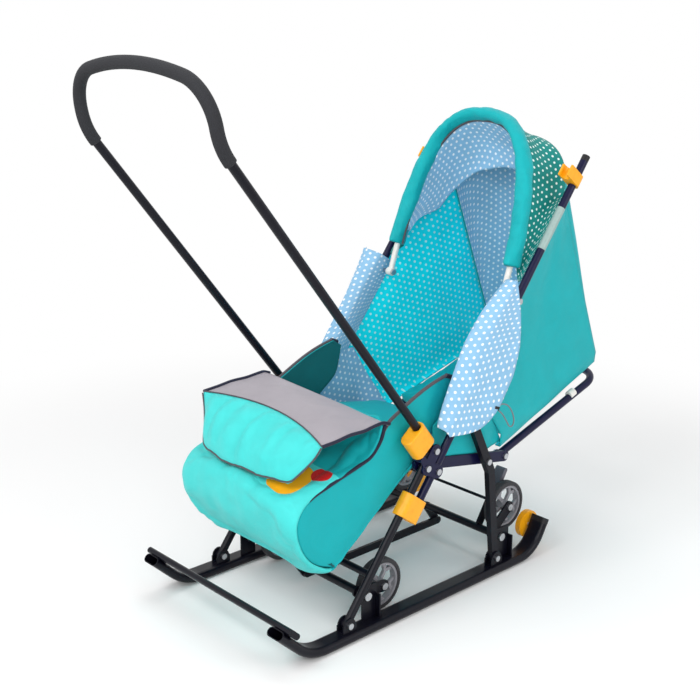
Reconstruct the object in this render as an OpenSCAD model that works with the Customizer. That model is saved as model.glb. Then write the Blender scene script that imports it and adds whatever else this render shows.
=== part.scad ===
// Sled stroller: two bent runners, an A-frame on each side, a reversible push handle,
// four lifting wheels, a reclining seat, a foot muff and a hood.
// Frame: millimetres, +Z up, +Y to the rear, +X to the child's left, ground at Z = 0.

/* [Runners] */
// Distance between the two runner centre lines
runner_gap = 380; // [350:1:420]
// Width of the flat oval runner tube
runner_w = 40; // [36:1:46]
// Thickness of the runner tube
runner_t = 18; // [14:1:22]
// Where the front bend starts along the sled
front_bend_y = -303; // [-328:1:-288]
// Where the rear bend starts along the sled
rear_bend_y = 227; // [222:1:242]
// Bend radius of the front tips
front_bend_r = 90; // [70:1:110]
// Bend radius of the rear tips
rear_bend_r = 70; // [60:1:80]
// Upturn of the front tips
front_tip_a = 44; // [36:1:50]
// Upturn of the rear tips
rear_tip_a = 60; // [50:1:66]
// Straight length of a front tip
front_tip = 60; // [50:1:80]
// Straight length of a rear tip
rear_tip = 24; // [20:1:36]
// Width of the front crossbar
crossbar_w = 30; // [24:1:36]
// Thickness of the front crossbar
crossbar_t = 12; // [8:1:14]
// How far the crossbar reaches past each runner
crossbar_over = 6; // [2:1:12]
// Length of the tow rope slot in the crossbar
tow_slot = 26; // [16:1:40]
// Length of a rear tip cap
tip_cap = 12; // [8:1:16]

/* [Tubes] */
// Diameter of the round tubes
tube_d = 16; // [14:1:18]
// Wall of all tubes
tube_wall = 1.5; // [1:0.1:2]
// Width of a leg tube seen from the side
leg_w = 18; // [16:1:22]
// Thickness of a leg tube across the sled
leg_t = 12; // [10:1:13]

/* [Frame] */
// Place of the front leg bolts along the sled
front_bolt_y = -244; // [-253:1:-233]
// Place of the rear leg bolts along the sled
rear_bolt_y = 157; // [152:1:160]
// Height of the leg bolts
bolt_z = 32; // [30:1:36]
// Place of the handle pivot along the sled
pivot_y = -30; // [-34:1:-26]
// Height of the handle pivot
pivot_z = 313; // [308:1:318]
// Length of a hood post
post_len = 778; // [740:1:800]
// Distance of the post behind the leg line
post_offset = 31; // [29:1:34]
// Place of the knee of a rear leg along the sled
knee_y = 136; // [132:1:140]
// Height of the knee of a rear leg
knee_z = 226; // [220:1:232]
// Diameter of the pivot bolts and hinge pins
pin_d = 8; // [6:0.5:9]
// Diameter of the frame bolts
bolt_d = 6; // [5:0.5:7]

/* [Handle] */
// Straight length of the handle tubes
handle_len = 724; // [690:1:760]
// Lean of the handle, from the rear horizontal
handle_a = 128; // [120:1:132]
// Length of the grip loop up to its corners
grip_len = 4; // [2:1:40]
// Bend between tubes and grip loop
grip_bend = 27; // [10:1:36]
// Corner radius of the grip loop
grip_r = 76; // [60:1:90]
// Outer diameter of the foam grip
grip_d = 22; // [20:1:26]

/* [Wheels] */
// Diameter of a tyre
wheel_d = 104; // [96:1:106]
// Width of a tyre
wheel_w = 20; // [16:1:20]
// Height of the lift axes
lift_z = 65; // [62:1:70]
// Place of the front lift axis along the sled
front_axis_y = -187; // [-190:1:-178]
// Place of the rear lift axis along the sled
rear_axis_y = 186; // [185:1:188]
// Length of a wheel arm
arm_len = 67; // [66:1:70]
// Rest angle of the front wheel arms
front_arm_a = -10; // [-12:1:0]
// Rest angle of the rear wheel arms
rear_arm_a = 39; // [34:1:42]
// Length of the link levers
lever_len = 48; // [40:1:50]
// Length of the lift pedal from its axis
pedal_len = 135; // [125:1:138]
// Diameter of a rear roller
roller_d = 58; // [50:1:60]
// Width of a rear roller
roller_w = 12; // [10:1:13]

/* [Seat] */
// Place of the recline hinge along the sled
recline_y = 197; // [192:1:202]
// Height of the recline hinge
recline_z = 236; // [230:1:240]
// Rest angle of the backrest loop
loop_a = 17.4; // [12:0.2:22]
// Length of the backrest loop
loop_len = 336.9; // [320:0.1:345]
// Half width of the backrest loop
loop_half = 162; // [140:1:180]
// Corner radius of the backrest loop
loop_r = 46; // [36:1:60]
// Thickness of the seat pad at its edge
pad_t = 22; // [16:1:26]
// Crown of the seat pad and back cushion
pad_crown = 12; // [6:1:16]

/* [Soft goods] */
// Half width of the foot muff
muff_half = 167; // [160:1:168]
// Length of the foot muff
muff_len = 303; // [290:1:310]
// Height of the foot muff
muff_h = 258; // [245:1:265]
// Padding of the foot muff
muff_wall = 8; // [6:1:12]
// Height of the hood arch above its hinge
hood_h = 352; // [330:1:370]
// Half width of the hood arch
hood_half = 168; // [145:1:195]
// Lean of the hood arch, from the rear horizontal
hood_a = 71; // [66:1:74]
// Thickness of the padded hood rim
rim_t = 26; // [18:1:30]
// Width of the padded hood rim
rim_w = 44; // [34:1:50]
// Thickness of the cloth panels
cloth_t = 2; // [1.5:0.1:2.5]

/* [Hidden] */
$fn = 64;
wide_arc_steps = 360;

// Colours
frame_colour = [0.08, 0.08, 0.13];
navy_colour = [0.1, 0.1, 0.3];
orange_colour = [0.97, 0.66, 0.05];
teal_colour = [0.05, 0.74, 0.72];
dots_colour = [0.62, 0.79, 0.92];
grey_colour = [0.68, 0.66, 0.69];
dark_colour = [0.15, 0.15, 0.16];

// Clearances
slip = 0.3;
run_fit = 0.05;
over = 1;
lap_shrink = 0.1;

// Side planes and the leg line
side_x = runner_gap / 2;
crossbar_len = runner_gap + runner_w + 2 * crossbar_over;
leg_a = atan2(pivot_z - bolt_z, pivot_y - front_bolt_y);
leg_reach = norm([pivot_y - front_bolt_y, pivot_z - bolt_z]);
leg_top_gap = 18;
cheek_t = 3;
cheek_gap = tube_d / 2 + slip;
cheek_leg = 36;
cheek_w = 26;
cheek_post_back = 30;
tongue_back = 27;
tongue_up = 20;
tongue_w = 14;
head_t = 4;
head_d = 12;

// A point in the side plane, along the leg line and behind it
function leg_pt(s, behind) = [front_bolt_y + s * cos(leg_a) + behind * sin(leg_a),
    bolt_z + s * sin(leg_a) - behind * cos(leg_a)];

// Collars, post, clip and hood hinge, along the leg line
collar_len = 46;
collar_s = 216;
collar_wall = 5;
collar_half = 15;
collar_round = 0.88;
post_start = collar_s + collar_len / 8;
post_end = post_start + post_len;
joint_s = 462;
hood_s = 686;
clip_back = 55;
clip_len = 24;
clip_wall = 4.5;
plug_len = 12;
joint_pt = leg_pt(joint_s, post_offset);
hood_pt = leg_pt(hood_s, post_offset);
joint_gap = 22;
joint_bolt = 36;
joint_w = 22;

// Runner brackets and lift gussets
bracket_half = 16;
bracket_top = bolt_z - runner_t;
bracket_t = 3;
gusset_t = 3;
gusset_front = 12;
gusset_back = 24;
gusset_top = 20;
gusset_flange = 12;
gusset_x = side_x - leg_t / 2 - gusset_t - over;
journal_d = 12;
cap_t = 4;

// Wheels and lift
wheel_gap = 2;
arm_t = 4;
arm_w = 24;
roller_gap = 2;
roller_x = side_x - runner_w / 2 - roller_gap - roller_w / 2;
arm_x = roller_x - roller_w / 2 + arm_t / 2;
wheel_x = arm_x - arm_t / 2 - wheel_gap - wheel_w / 2;
rim_d = wheel_d * 0.84;
rim_band = 5;
hub_d = 22;
spoke_w = 7;
spoke_t = 6;
spokes = 5;
spoke_split_share = 0.62;
spoke_spread_a = 17;
axle_d = 10;
nut_t = 3;
lever_a = -55;
lever_w = 18;
lever_t = 5;
link_x = -25;
link_t = 6;
link_h = 16;
pedal_a = 58;
pedal_w = 24;
pedal_x = wheel_x - wheel_w / 2 - pedal_w / 2 - over;
pedal_pad = 40;
pedal_t = 10;
roller_bore_d = 10;
roller_y = rear_bend_y + rear_bend_r * sin(rear_tip_a) + rear_tip / 2 * cos(rear_tip_a);
roller_z = runner_t / 2 + rear_bend_r * (1 - cos(rear_tip_a)) + rear_tip / 2 * sin(rear_tip_a);

// Seat frame
rail_t = 6;
rail_h = 22;
rail_gap = 1.7;
rail_x = side_x - cheek_gap - cheek_t - rail_gap - rail_t / 2;
// The feet of the backrest loop stand just inside the rails
loop_foot = rail_x - rail_t / 2 - over - tube_d / 2;
rail_front = leg_pt(leg_reach - cheek_leg, 0);
recline_pt = [recline_y, recline_z];
seat_a = atan2(recline_z - rail_front[1], recline_y - rail_front[0]);
seat_len = norm(recline_pt - rail_front);
rear_tube_s = 150;
pad_gap = 13;
pad_half = rail_x - rail_t / 2 - pad_gap;
pad_start = 14;
pad_end = 214;
back_half = 156;
back_start = 34;
back_end = 306;
cushion_t = 22;
cross_d = 14;
cross_s = 97;
rod_d = 6;
rod_share = 0.66;

// Place of the foot muff: its heel at the front of the seat, its toe end and its lowest edge
muff_heel_y = -45;
muff_toe_y = muff_heel_y - muff_len;
muff_low_z = 132;

// Handle sleeves, along the handle
sleeve_start = 21;
sleeve_len = 48;
sleeve_front = 40;
sleeve_back = 14;
kink_r = 114;
grip_arch_a = 12.5;

// Builders for round and flat oval sections
module stadium(long, short) {
    square([long - short, short], center = true);
    for (s = [-1, 1]) translate([s * (long - short) / 2, 0]) circle(d = short);
}

module stadium_tube(long, short) difference() {
    stadium(long, short);
    stadium(long - 2 * tube_wall, short - 2 * tube_wall);
}

module ring(outer, inner) difference() {
    circle(d = outer);
    circle(d = inner);
}

module tube_ring() ring(tube_d, tube_d - 2 * tube_wall);

// A strip with round ends between two points
module strap(p, q, w) {
    d = q - p;
    h = w - lap_shrink;
    translate(p) rotate(atan2(d[1], d[0])) translate([0, -h / 2]) square([norm(d), h]);
    translate(p) circle(d = w);
    translate(q) circle(d = w);
}

module rounded(w, h, r) {
    square([w - 2 * r, h], center = true);
    square([w, h - 2 * r], center = true);
    for (i = [-1, 1], j = [-1, 1]) translate([i * (w / 2 - r), j * (h / 2 - r)]) circle(r);
}

// A plate square to X, drawn in Y and Z, centred on X = 0
module plate_x(t) rotate([90, 0, 90]) linear_extrude(t, center = true) children();

// A round bar along X through a point of the side view
module bar_x(p, x0, x1, d) translate([x0, p[0], p[1]]) rotate([0, 90, 0]) cylinder(d = d, h = x1 - x0);

// A section drawn in X and Z, drawn out along Y
module along_y(len) rotate([-90, 0, 0]) linear_extrude(len) children();

// How far a bend of radius r runs on into the straight pieces at its ends, as an angle
function lap_a(r) = over / r * 180 / PI;

// A section swept round an axis along X, from angle a0 to a1, where 0 points down
module bend_x(r, a0, a1) rotate([0, 90, 0]) rotate(a0 - lap_a(r))
    rotate_extrude(angle = a1 - a0 + 2 * lap_a(r)) translate([r, 0]) children();

// A U-shaped tube in the X-Y plane with its two ends at Y = 0
module u_tube(half, len, corner, outer, inner) {
    for (s = [-1, 1]) translate([s * half, 0, 0]) along_y(len - corner) ring(outer, inner);
    for (m = [0, 1]) mirror([m, 0, 0]) translate([half - corner, len - corner, 0])
        rotate_extrude(angle = 90) translate([corner, 0]) ring(outer, inner);
    translate([-(half - corner), len, 0]) rotate([0, 90, 0]) linear_extrude(2 * (half - corner))
        ring(outer, inner);
}

// The same with its feet set in or out, so that its legs splay and still meet the corners smoothly
module splayed_tube(foot, half, len, corner, outer, inner) {
    c = [half - corner, len - corner];
    reach = norm([foot - c[0], c[1]]);
    splay = atan2(c[1], foot - c[0]) - acos(corner / reach);
    for (m = [0, 1]) mirror([m, 0, 0]) {
        translate([foot, 0, 0]) rotate(-splay) along_y(sqrt(reach * reach - corner * corner))
            ring(outer, inner);
        translate([c[0], c[1], 0]) rotate(-splay - lap_a(corner))
            rotate_extrude(angle = 90 + splay + 2 * lap_a(corner)) translate([corner, 0])
                ring(outer - lap_shrink, inner + lap_shrink);
    }
    translate([-c[0], len, 0]) rotate([0, 90, 0]) linear_extrude(2 * c[0]) ring(outer, inner);
}

// A U-shaped tube with an arched bar between the corners
module arched_tube(half, len, corner, arch, outer, inner) {
    for (s = [-1, 1]) translate([s * half, 0, 0]) along_y(len) ring(outer, inner);
    for (m = [0, 1]) mirror([m, 0, 0]) translate([half - corner, len, 0]) rotate(-lap_a(corner))
        rotate_extrude(angle = 90 - arch + 2 * lap_a(corner)) translate([corner, 0])
            ring(outer - lap_shrink, inner + lap_shrink);
    translate([0, len - (half - corner) / tan(arch), 0]) rotate(90 - arch)
        rotate_extrude(angle = 2 * arch, $fn = wide_arc_steps)
            translate([corner + (half - corner) / sin(arch), 0])
            ring(outer, inner);
}

module leg_frame(side) translate([side * side_x, front_bolt_y, bolt_z]) rotate([leg_a, 0, 0])
    children();

module handle_frame() translate([0, pivot_y, pivot_z]) rotate([handle_a, 0, 0]) children();

module loop_frame() translate([0, recline_y, recline_z]) rotate([loop_a, 0, 0]) children();

module seat_slope() translate([0, rail_front[0], rail_front[1]]) rotate([seat_a, 0, 0]) children();

module hood_frame() translate([0, hood_pt[0], hood_pt[1]]) rotate([hood_a, 0, 0]) children();

// A closed solid between two grids of points with the same rows and columns
module between(top, bottom) {
    rows = len(top);
    cols = len(top[0]);
    n = rows * cols;
    pts = concat([for (r = top) each r], [for (r = bottom) each r]);
    grid = [for (i = [0 : rows - 2], j = [0 : cols - 2]) each
        [[i * cols + j, i * cols + j + 1, (i + 1) * cols + j + 1],
            [i * cols + j, (i + 1) * cols + j + 1, (i + 1) * cols + j]]];
    rim = concat([for (j = [0 : cols - 1]) j], [for (i = [1 : rows - 1]) i * cols + cols - 1],
        [for (j = [cols - 2 : -1 : 0]) (rows - 1) * cols + j],
            [for (i = [rows - 2 : -1 : 1]) i * cols]);
    m = len(rim);
    sides = [for (k = [0 : m - 1]) each
        [[rim[k], rim[k] + n, rim[(k + 1) % m] + n], [rim[k], rim[(k + 1) % m] + n, rim[(k + 1) % m]]]];
    polyhedron(pts, concat(grid, [for (f = grid) [f[0] + n, f[2] + n, f[1] + n]], sides));
}

// A closed tube or loft through rings of points
module loft(rings) {
    rows = len(rings);
    n = len(rings[0]);
    walls = [for (i = [0 : rows - 2], j = [0 : n - 1]) each
        [[i * n + j, (i + 1) * n + (j + 1) % n, i * n + (j + 1) % n],
            [i * n + j, (i + 1) * n + j, (i + 1) * n + (j + 1) % n]]];
    first = [for (j = [1 : n - 2]) [0, j, j + 1]];
    last = [for (j = [1 : n - 2]) [(rows - 1) * n, (rows - 1) * n + j + 1, (rows - 1) * n + j]];
    polyhedron([for (r = rings) each r], concat(walls, first, last));
}

// Runners
module runner_section() rotate(90) stadium_tube(runner_w, runner_t);

module runner_bend_section() rotate(90) difference() {
    stadium(runner_w - lap_shrink, runner_t - lap_shrink);
    stadium(runner_w - 2 * tube_wall + lap_shrink, runner_t - 2 * tube_wall + lap_shrink);
}

module runner(side) color(frame_colour) difference() {
    translate([side * side_x, 0, 0]) {
        translate([0, front_bend_y, runner_t / 2]) along_y(rear_bend_y - front_bend_y) rotate(90)
            runner_section();
        translate([0, front_bend_y, runner_t / 2 + front_bend_r]) {
            bend_x(front_bend_r, -front_tip_a, 0) runner_bend_section();
            rotate([-front_tip_a, 0, 0]) translate([0, -front_tip, -front_bend_r]) along_y(front_tip)
                rotate(90) runner_section();
        }
        translate([0, rear_bend_y, runner_t / 2 + rear_bend_r]) {
            bend_x(rear_bend_r, 0, rear_tip_a) runner_bend_section();
            rotate([rear_tip_a, 0, 0]) translate([0, 0, -rear_bend_r]) along_y(rear_tip) rotate(90)
                runner_section();
        }
    }
    bar_x([roller_y, roller_z], side > 0 ? side_x - runner_w : -side_x,
        side > 0 ? side_x : -side_x + runner_w,
        roller_bore_d - 2 * tube_wall + 2 * slip);
}

module runner_left() runner(1);

module runner_right() runner(-1);

module crossbar_body(len, w, t) rotate([0, 90, 0]) linear_extrude(len, center = true) rotate(90)
    stadium(w, t);

module front_crossbar() color(frame_colour)
    translate([0, front_bend_y, runner_t / 2 + front_bend_r]) rotate([-front_tip_a, 0, 0])
        translate([0, -front_tip + crossbar_w / 2, -front_bend_r + runner_t / 2 + crossbar_t / 2])
            difference() {
            crossbar_body(crossbar_len, crossbar_w, crossbar_t);
            crossbar_body(crossbar_len - 2 * tube_wall, crossbar_w - 2 * tube_wall,
                crossbar_t - 2 * tube_wall);
            linear_extrude(2 * crossbar_t, center = true) stadium(tow_slot, crossbar_w / 3);
        }

module runner_end_caps() color(dark_colour) for (s = [-1, 1])
    translate([s * side_x, rear_bend_y, runner_t / 2 + rear_bend_r]) rotate([rear_tip_a, 0, 0])
        translate([0, rear_tip, -rear_bend_r]) along_y(tip_cap)
            stadium(runner_w + 2 * slip, runner_t + 2 * slip);

// U brackets that take the legs
module leg_bracket(side, y) translate([side * side_x, y, 0]) difference() {
    union() {
        for (s = [-1, 1]) translate([s * (leg_t / 2 + slip + bracket_t / 2), 0, 0]) plate_x(bracket_t) {
            translate([-bracket_half, runner_t]) square([2 * bracket_half, bracket_top]);
            translate([0, bolt_z]) circle(bracket_top);
        }
        translate([-(leg_t / 2 + slip), -bracket_half, runner_t])
            cube([leg_t + 2 * slip, 2 * bracket_half, bracket_t]);
    }
    bar_x([0, bolt_z], -leg_t - 2 * bracket_t, leg_t + 2 * bracket_t, bolt_d + slip);
}

module leg_brackets() color(frame_colour) for (s = [-1, 1], y = [front_bolt_y, rear_bolt_y])
    leg_bracket(s, y);

// Upright plates that carry the two lift axes
module lift_gusset(side, y) difference() {
    union() {
        translate([side * (gusset_x + gusset_t / 2), y, 0]) plate_x(gusset_t) difference() {
            translate([-gusset_front, runner_t])
                square([gusset_front + gusset_back, lift_z + gusset_top - runner_t]);
            translate([0, lift_z]) circle(d = journal_d + 2 * run_fit);
        }
        translate([side > 0 ? gusset_x : -gusset_x - gusset_t - gusset_flange,
            y + gusset_back - gusset_t, runner_t])
            cube([gusset_t + gusset_flange, gusset_t, lift_z - runner_t]);
    }
}

module lift_gussets() color(frame_colour) for (s = [-1, 1], y = [front_axis_y, rear_axis_y])
    lift_gusset(s, y);

// Legs and posts
module front_leg(side) color(frame_colour) leg_frame(side) difference() {
    union() {
        along_y(leg_reach - leg_top_gap) rotate(90) stadium_tube(leg_w, leg_t);
        rotate([0, 90, 0]) cylinder(d = leg_w, h = leg_t, center = true);
    }
    for (s = [0, leg_reach - cheek_leg]) bar_x([s, 0], -leg_t, leg_t, bolt_d + slip);
    translate([-side * (leg_t - 2 * tube_wall), 0, 0])
        bar_x([cross_s, 0], -leg_t / 2, leg_t / 2, cross_d + 2 * slip);
}

module front_leg_left() front_leg(1);

module front_leg_right() front_leg(-1);

knee_pt = [knee_y, knee_z];
rear_foot = [rear_bolt_y, bolt_z];
rear_up = (joint_pt - knee_pt) / norm(joint_pt - knee_pt);
rear_top = joint_pt - joint_gap * rear_up;
rear_bolt_pt = joint_pt - joint_bolt * rear_up;
rail_bolt_y = knee_y - (knee_y - joint_pt[0]) / 7;
rail_bolt_pt = knee_pt + rear_up * (knee_y - rail_bolt_y) / abs(rear_up[0]);
rod_pt = rear_foot + rod_share * (knee_pt - rear_foot);

module rear_leg_shape(w, t) {
    plate_x(t) {
        strap(rear_foot, knee_pt, w);
        strap(knee_pt, rear_top, w);
    }
}

module rear_leg(side) color(frame_colour) translate([side * side_x, 0, 0]) difference() {
    rear_leg_shape(leg_w, leg_t);
    rear_leg_shape(leg_w - 2 * tube_wall, leg_t - 2 * tube_wall);
    for (p = [rear_foot, rear_bolt_pt, rail_bolt_pt]) bar_x(p, -leg_t, leg_t, bolt_d + slip);
    bar_x(rod_pt, -leg_t, leg_t, rod_d + slip);
}

module rear_leg_left() rear_leg(1);

module rear_leg_right() rear_leg(-1);

module post(side) color(navy_colour) leg_frame(side) difference() {
    translate([0, post_start, -post_offset]) along_y(post_len) tube_ring();
    for (s = [leg_reach - cheek_post_back, joint_s])
        bar_x([s, -post_offset], -tube_d, tube_d, bolt_d + slip);
    bar_x([hood_s, -post_offset], -tube_d, tube_d, pin_d + slip);
}

module post_left() post(1);

module post_right() post(-1);

module post_plugs() color(dark_colour) for (s = [-1, 1]) leg_frame(s)
    translate([0, post_end, -post_offset]) {
    along_y(plug_len) circle(d = tube_d);
    translate([0, -plug_len, 0]) along_y(plug_len) circle(d = tube_d - 2 * tube_wall - 2 * run_fit);
}

// Cheek plates that join leg, post and handle, with the lug that the handle sleeve rests over
module cheek_outline() {
    leg_hole = [leg_reach - cheek_leg, 0];
    strap(leg_hole, [leg_reach, 0], cheek_w);
    strap(leg_hole, [leg_reach - cheek_post_back, -post_offset], cheek_w);
    strap(leg_hole, [leg_reach - tongue_back, tongue_up], tongue_w);
}

module pivot_bracket(side) color(navy_colour) leg_frame(side) difference() {
    union() {
        for (s = [-1, 1]) translate([s * (cheek_gap + cheek_t / 2), 0, 0]) plate_x(cheek_t)
            cheek_outline();
        plate_x(2 * cheek_gap) translate([leg_reach - tongue_back, tongue_up]) circle(d = tongue_w);
    }
    for (p = [[leg_reach - cheek_leg, 0], [leg_reach - cheek_post_back, -post_offset]])
        bar_x(p, -2 * tube_d, 2 * tube_d, bolt_d + slip);
    bar_x([leg_reach, 0], -2 * tube_d, 2 * tube_d, pin_d + slip);
}

module pivot_bracket_left() pivot_bracket(1);

module pivot_bracket_right() pivot_bracket(-1);

module rear_joint_plates() color(navy_colour) for (side = [-1, 1]) translate([side * side_x, 0, 0])
    for (s = [-1, 1])
    translate([s * (cheek_gap + cheek_t / 2), 0, 0]) difference() {
        plate_x(cheek_t) strap(joint_pt, rear_bolt_pt, joint_w);
        for (p = [joint_pt, rear_bolt_pt]) bar_x(p, -2 * cheek_t, 2 * cheek_t, bolt_d + slip);
    }

// A bolt along X with a round head at each end
module bolt(p, x0, x1, d) {
    bar_x(p, x0, x1, d);
    bar_x(p, x1, x1 + head_t, head_d);
    bar_x(p, x0 - head_t, x0, head_d);
}

// A rivet along X with its only head on the outside
module rivet(p, x0, x1, d) {
    bar_x(p, x0, x1, d);
    bar_x(p, x1, x1 + head_t, head_d);
}

module side_bolts() {
    bracket_x = leg_t / 2 + slip + bracket_t;
    cheek_x = cheek_gap + cheek_t;
    rail_in = rail_x - rail_t / 2 - side_x;
    for (y = [front_bolt_y, rear_bolt_y]) bolt([y, bolt_z], -bracket_x, bracket_x, bolt_d);
    rivet(leg_pt(leg_reach - cheek_leg, 0), rail_in, cheek_x, bolt_d);
    rivet(leg_pt(leg_reach - cheek_post_back, post_offset), -cheek_x, cheek_x, bolt_d);
    bolt([pivot_y, pivot_z], -cheek_x, cheek_x, pin_d);
    for (p = [joint_pt, rear_bolt_pt]) bolt(p, -cheek_x, cheek_x, bolt_d);
    bolt(rail_bolt_pt, rail_in, leg_t / 2, bolt_d);
    bolt(recline_pt, loop_foot - tube_d / 2 - over - side_x, rail_x + rail_t / 2 - side_x, pin_d);
    bolt(hood_pt, bow_foot - rim_t / 2 - bow_d / 2 - over - slip - side_x, tube_d / 2, pin_d);
}

module frame_bolts() color("silver") for (m = [0, 1]) mirror([m, 0, 0]) translate([side_x, 0, 0])
    side_bolts();

module front_cross_tube() color(navy_colour) translate([-side_x, leg_pt(cross_s, 0)[0],
    leg_pt(cross_s, 0)[1]])
    rotate([0, 90, 0]) translate([0, 0, leg_t / 2 - tube_wall - slip])
        linear_extrude(runner_gap - leg_t + 2 * tube_wall + 2 * slip)
            ring(cross_d, cross_d - 2 * tube_wall);

module rear_cross_rod() color(dark_colour) bar_x(rod_pt, -side_x - leg_t / 2, side_x + leg_t / 2,
    rod_d);

// Seat frame: two side rails, two cross tubes and the foot rest loop, welded
function muff_pt(p) = [muff_toe_y + p[0] * muff_len, muff_low_z + p[1] * muff_h];
muff_heel_share = [1, 0.605];
muff_sole_share = [0.33, 0];
foot_vec = muff_pt(muff_sole_share) - muff_pt(muff_heel_share);
foot_a = atan2(foot_vec[1], foot_vec[0]);
foot_half = 140;
foot_r = 40;
foot_drop = tube_d / 2 + slip;
foot_start = muff_pt(muff_heel_share) + foot_drop * [-sin(foot_a), cos(foot_a)];
foot_len = norm(foot_vec) - foot_drop;
rear_tube_pt = rail_front + rear_tube_s * [cos(seat_a), sin(seat_a)];
tube_in_x = rail_x - rail_t / 2 - over;

module seat_frame() color(navy_colour) difference() {
    union() {
        for (s = [-1, 1]) translate([s * rail_x, 0, 0]) plate_x(rail_t)
            strap(rail_front, recline_pt, rail_h);
        for (m = [0, 1]) mirror([m, 0, 0]) {
            bar_x(rail_front, rail_x, side_x - cheek_gap - cheek_t, cross_d);
            bar_x(rail_bolt_pt, rail_x, side_x - leg_t / 2, cross_d);
        }
        for (p = [foot_start, rear_tube_pt]) bar_x(p, -rail_x, rail_x, tube_d);
        translate([0, foot_start[0], foot_start[1]]) rotate([foot_a, 0, 0])
            u_tube(foot_half, foot_len, foot_r, tube_d, tube_d - 2 * tube_wall);
    }
    for (p = [foot_start, rear_tube_pt]) bar_x(p, -tube_in_x, tube_in_x, tube_d - 2 * tube_wall);
    for (m = [0, 1]) mirror([m, 0, 0]) {
        for (p = [rail_front, rail_bolt_pt]) bar_x(p, rail_x - rail_t, side_x, bolt_d + slip);
        bar_x(recline_pt, rail_x - rail_t, rail_x + rail_t, pin_d + slip);
    }
}

// Handle with its grip, sleeves and the clips that hold it when it is swung to the rear
module handle_loop(outer, inner) translate([0, handle_len + kink_r * sin(grip_bend),
    -kink_r * (1 - cos(grip_bend))])
    rotate([-grip_bend, 0, 0]) arched_tube(side_x, grip_len, grip_r, grip_arch_a, outer, inner);

module handle_kink(outer, inner) for (s = [-1, 1]) translate([s * side_x, handle_len, -kink_r])
    bend_x(kink_r, 180 - grip_bend, 180) ring(outer - lap_shrink, inner + lap_shrink);

module handle_tube() color(frame_colour) handle_frame() difference() {
    union() {
        for (s = [-1, 1]) translate([s * side_x, 0, 0]) {
            along_y(handle_len) tube_ring();
            rotate([0, 90, 0]) cylinder(d = tube_d, h = tube_d - tube_wall, center = true);
        }
        handle_kink(tube_d, tube_d - 2 * tube_wall);
        handle_loop(tube_d, tube_d - 2 * tube_wall);
    }
    bar_x([0, 0], -side_x - tube_d, side_x + tube_d, pin_d + 2 * run_fit);
}

module handle_grip() color(dark_colour) handle_frame() {
    handle_kink(grip_d, tube_d + slip);
    handle_loop(grip_d, tube_d + slip);
}

module handle_sleeve(side) color(orange_colour) handle_frame()
    translate([side * side_x, sleeve_start, 0])
    along_y(sleeve_len) difference() {
        translate([0, -(sleeve_front - sleeve_back) / 2])
            rounded(2 * collar_half, sleeve_front + sleeve_back, collar_half * collar_round);
        circle(d = tube_d + 2 * slip);
    }

module handle_sleeve_left() handle_sleeve(1);

module handle_sleeve_right() handle_sleeve(-1);

module leg_collar(side) color(orange_colour) leg_frame(side) translate([0, collar_s, 0])
    along_y(collar_len) difference() {
    front = leg_w / 2 + collar_wall;
    back = post_offset + tube_d / 2 + collar_wall;
    translate([0, (back - front) / 2])
        rounded(2 * collar_half, front + back, collar_half * collar_round);
    rotate(90) stadium(leg_w + 2 * slip, leg_t + 2 * slip);
    translate([0, post_offset]) circle(d = tube_d + 2 * slip);
}

module leg_collar_left() leg_collar(1);

module leg_collar_right() leg_collar(-1);

module handle_clip(side) color(orange_colour) leg_frame(side) translate([0, post_end - clip_back, 0])
    along_y(clip_len)
    difference() {
        outer = tube_d / 2 + clip_wall;
        union() {
            translate([0, post_offset]) circle(outer);
            translate([-outer, -tube_d / 2]) square([2 * outer, post_offset + tube_d / 2]);
        }
        translate([0, post_offset]) circle(d = tube_d + 2 * run_fit);
        circle(d = tube_d + 2 * slip);
        translate([-tube_d / 2 - slip, -tube_d]) square([tube_d + 2 * slip, tube_d]);
    }

module handle_clip_left() handle_clip(1);

module handle_clip_right() handle_clip(-1);

// Wheel lift: two cross tubes with wheel arms and levers, joined by a link
function polar(p, r, a) = [p[0] + r * cos(a), p[1] + r * sin(a)];
front_axis = [front_axis_y, lift_z];
rear_axis = [rear_axis_y, lift_z];
front_wheel = polar(front_axis, arm_len, front_arm_a);
rear_wheel = polar(rear_axis, arm_len, rear_arm_a);
link_side = link_x + lever_t / 2 + slip;

module lift(axis, wheel) difference() {
    lever_end = polar(axis, lever_len, lever_a);
    union() {
        translate([-gusset_x + slip, axis[0], axis[1]]) rotate([0, 90, 0])
            linear_extrude(2 * gusset_x - 2 * slip) tube_ring();
        for (m = [0, 1]) mirror([m, 0, 0]) {
            bar_x(axis, gusset_x - tube_d, gusset_x - slip, tube_d);
            bar_x(axis, gusset_x - tube_d, gusset_x + gusset_t + over, journal_d);
            translate([arm_x, 0, 0]) plate_x(arm_t) strap(axis, wheel, arm_w);
        }
        translate([link_x, 0, 0]) plate_x(lever_t) strap(axis, lever_end, lever_w);
        bar_x(lever_end, link_x, link_side + link_t + over, pin_d);
    }
    for (m = [0, 1]) mirror([m, 0, 0]) bar_x(wheel, arm_x - arm_t, arm_x + arm_t, axle_d + 2 * run_fit);
}

module rear_lift() color(frame_colour) {
    lift(rear_axis, rear_wheel);
    translate([pedal_x, rear_axis_y, lift_z]) rotate([pedal_a, 0, 0]) plate_x(lever_t)
        translate([tube_d / 2 - tube_wall, -lever_w / 2])
            square([pedal_len - pedal_pad - tube_d / 2 + tube_wall, lever_w]);
}

module front_lift() color(frame_colour) lift(front_axis, front_wheel);

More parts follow.
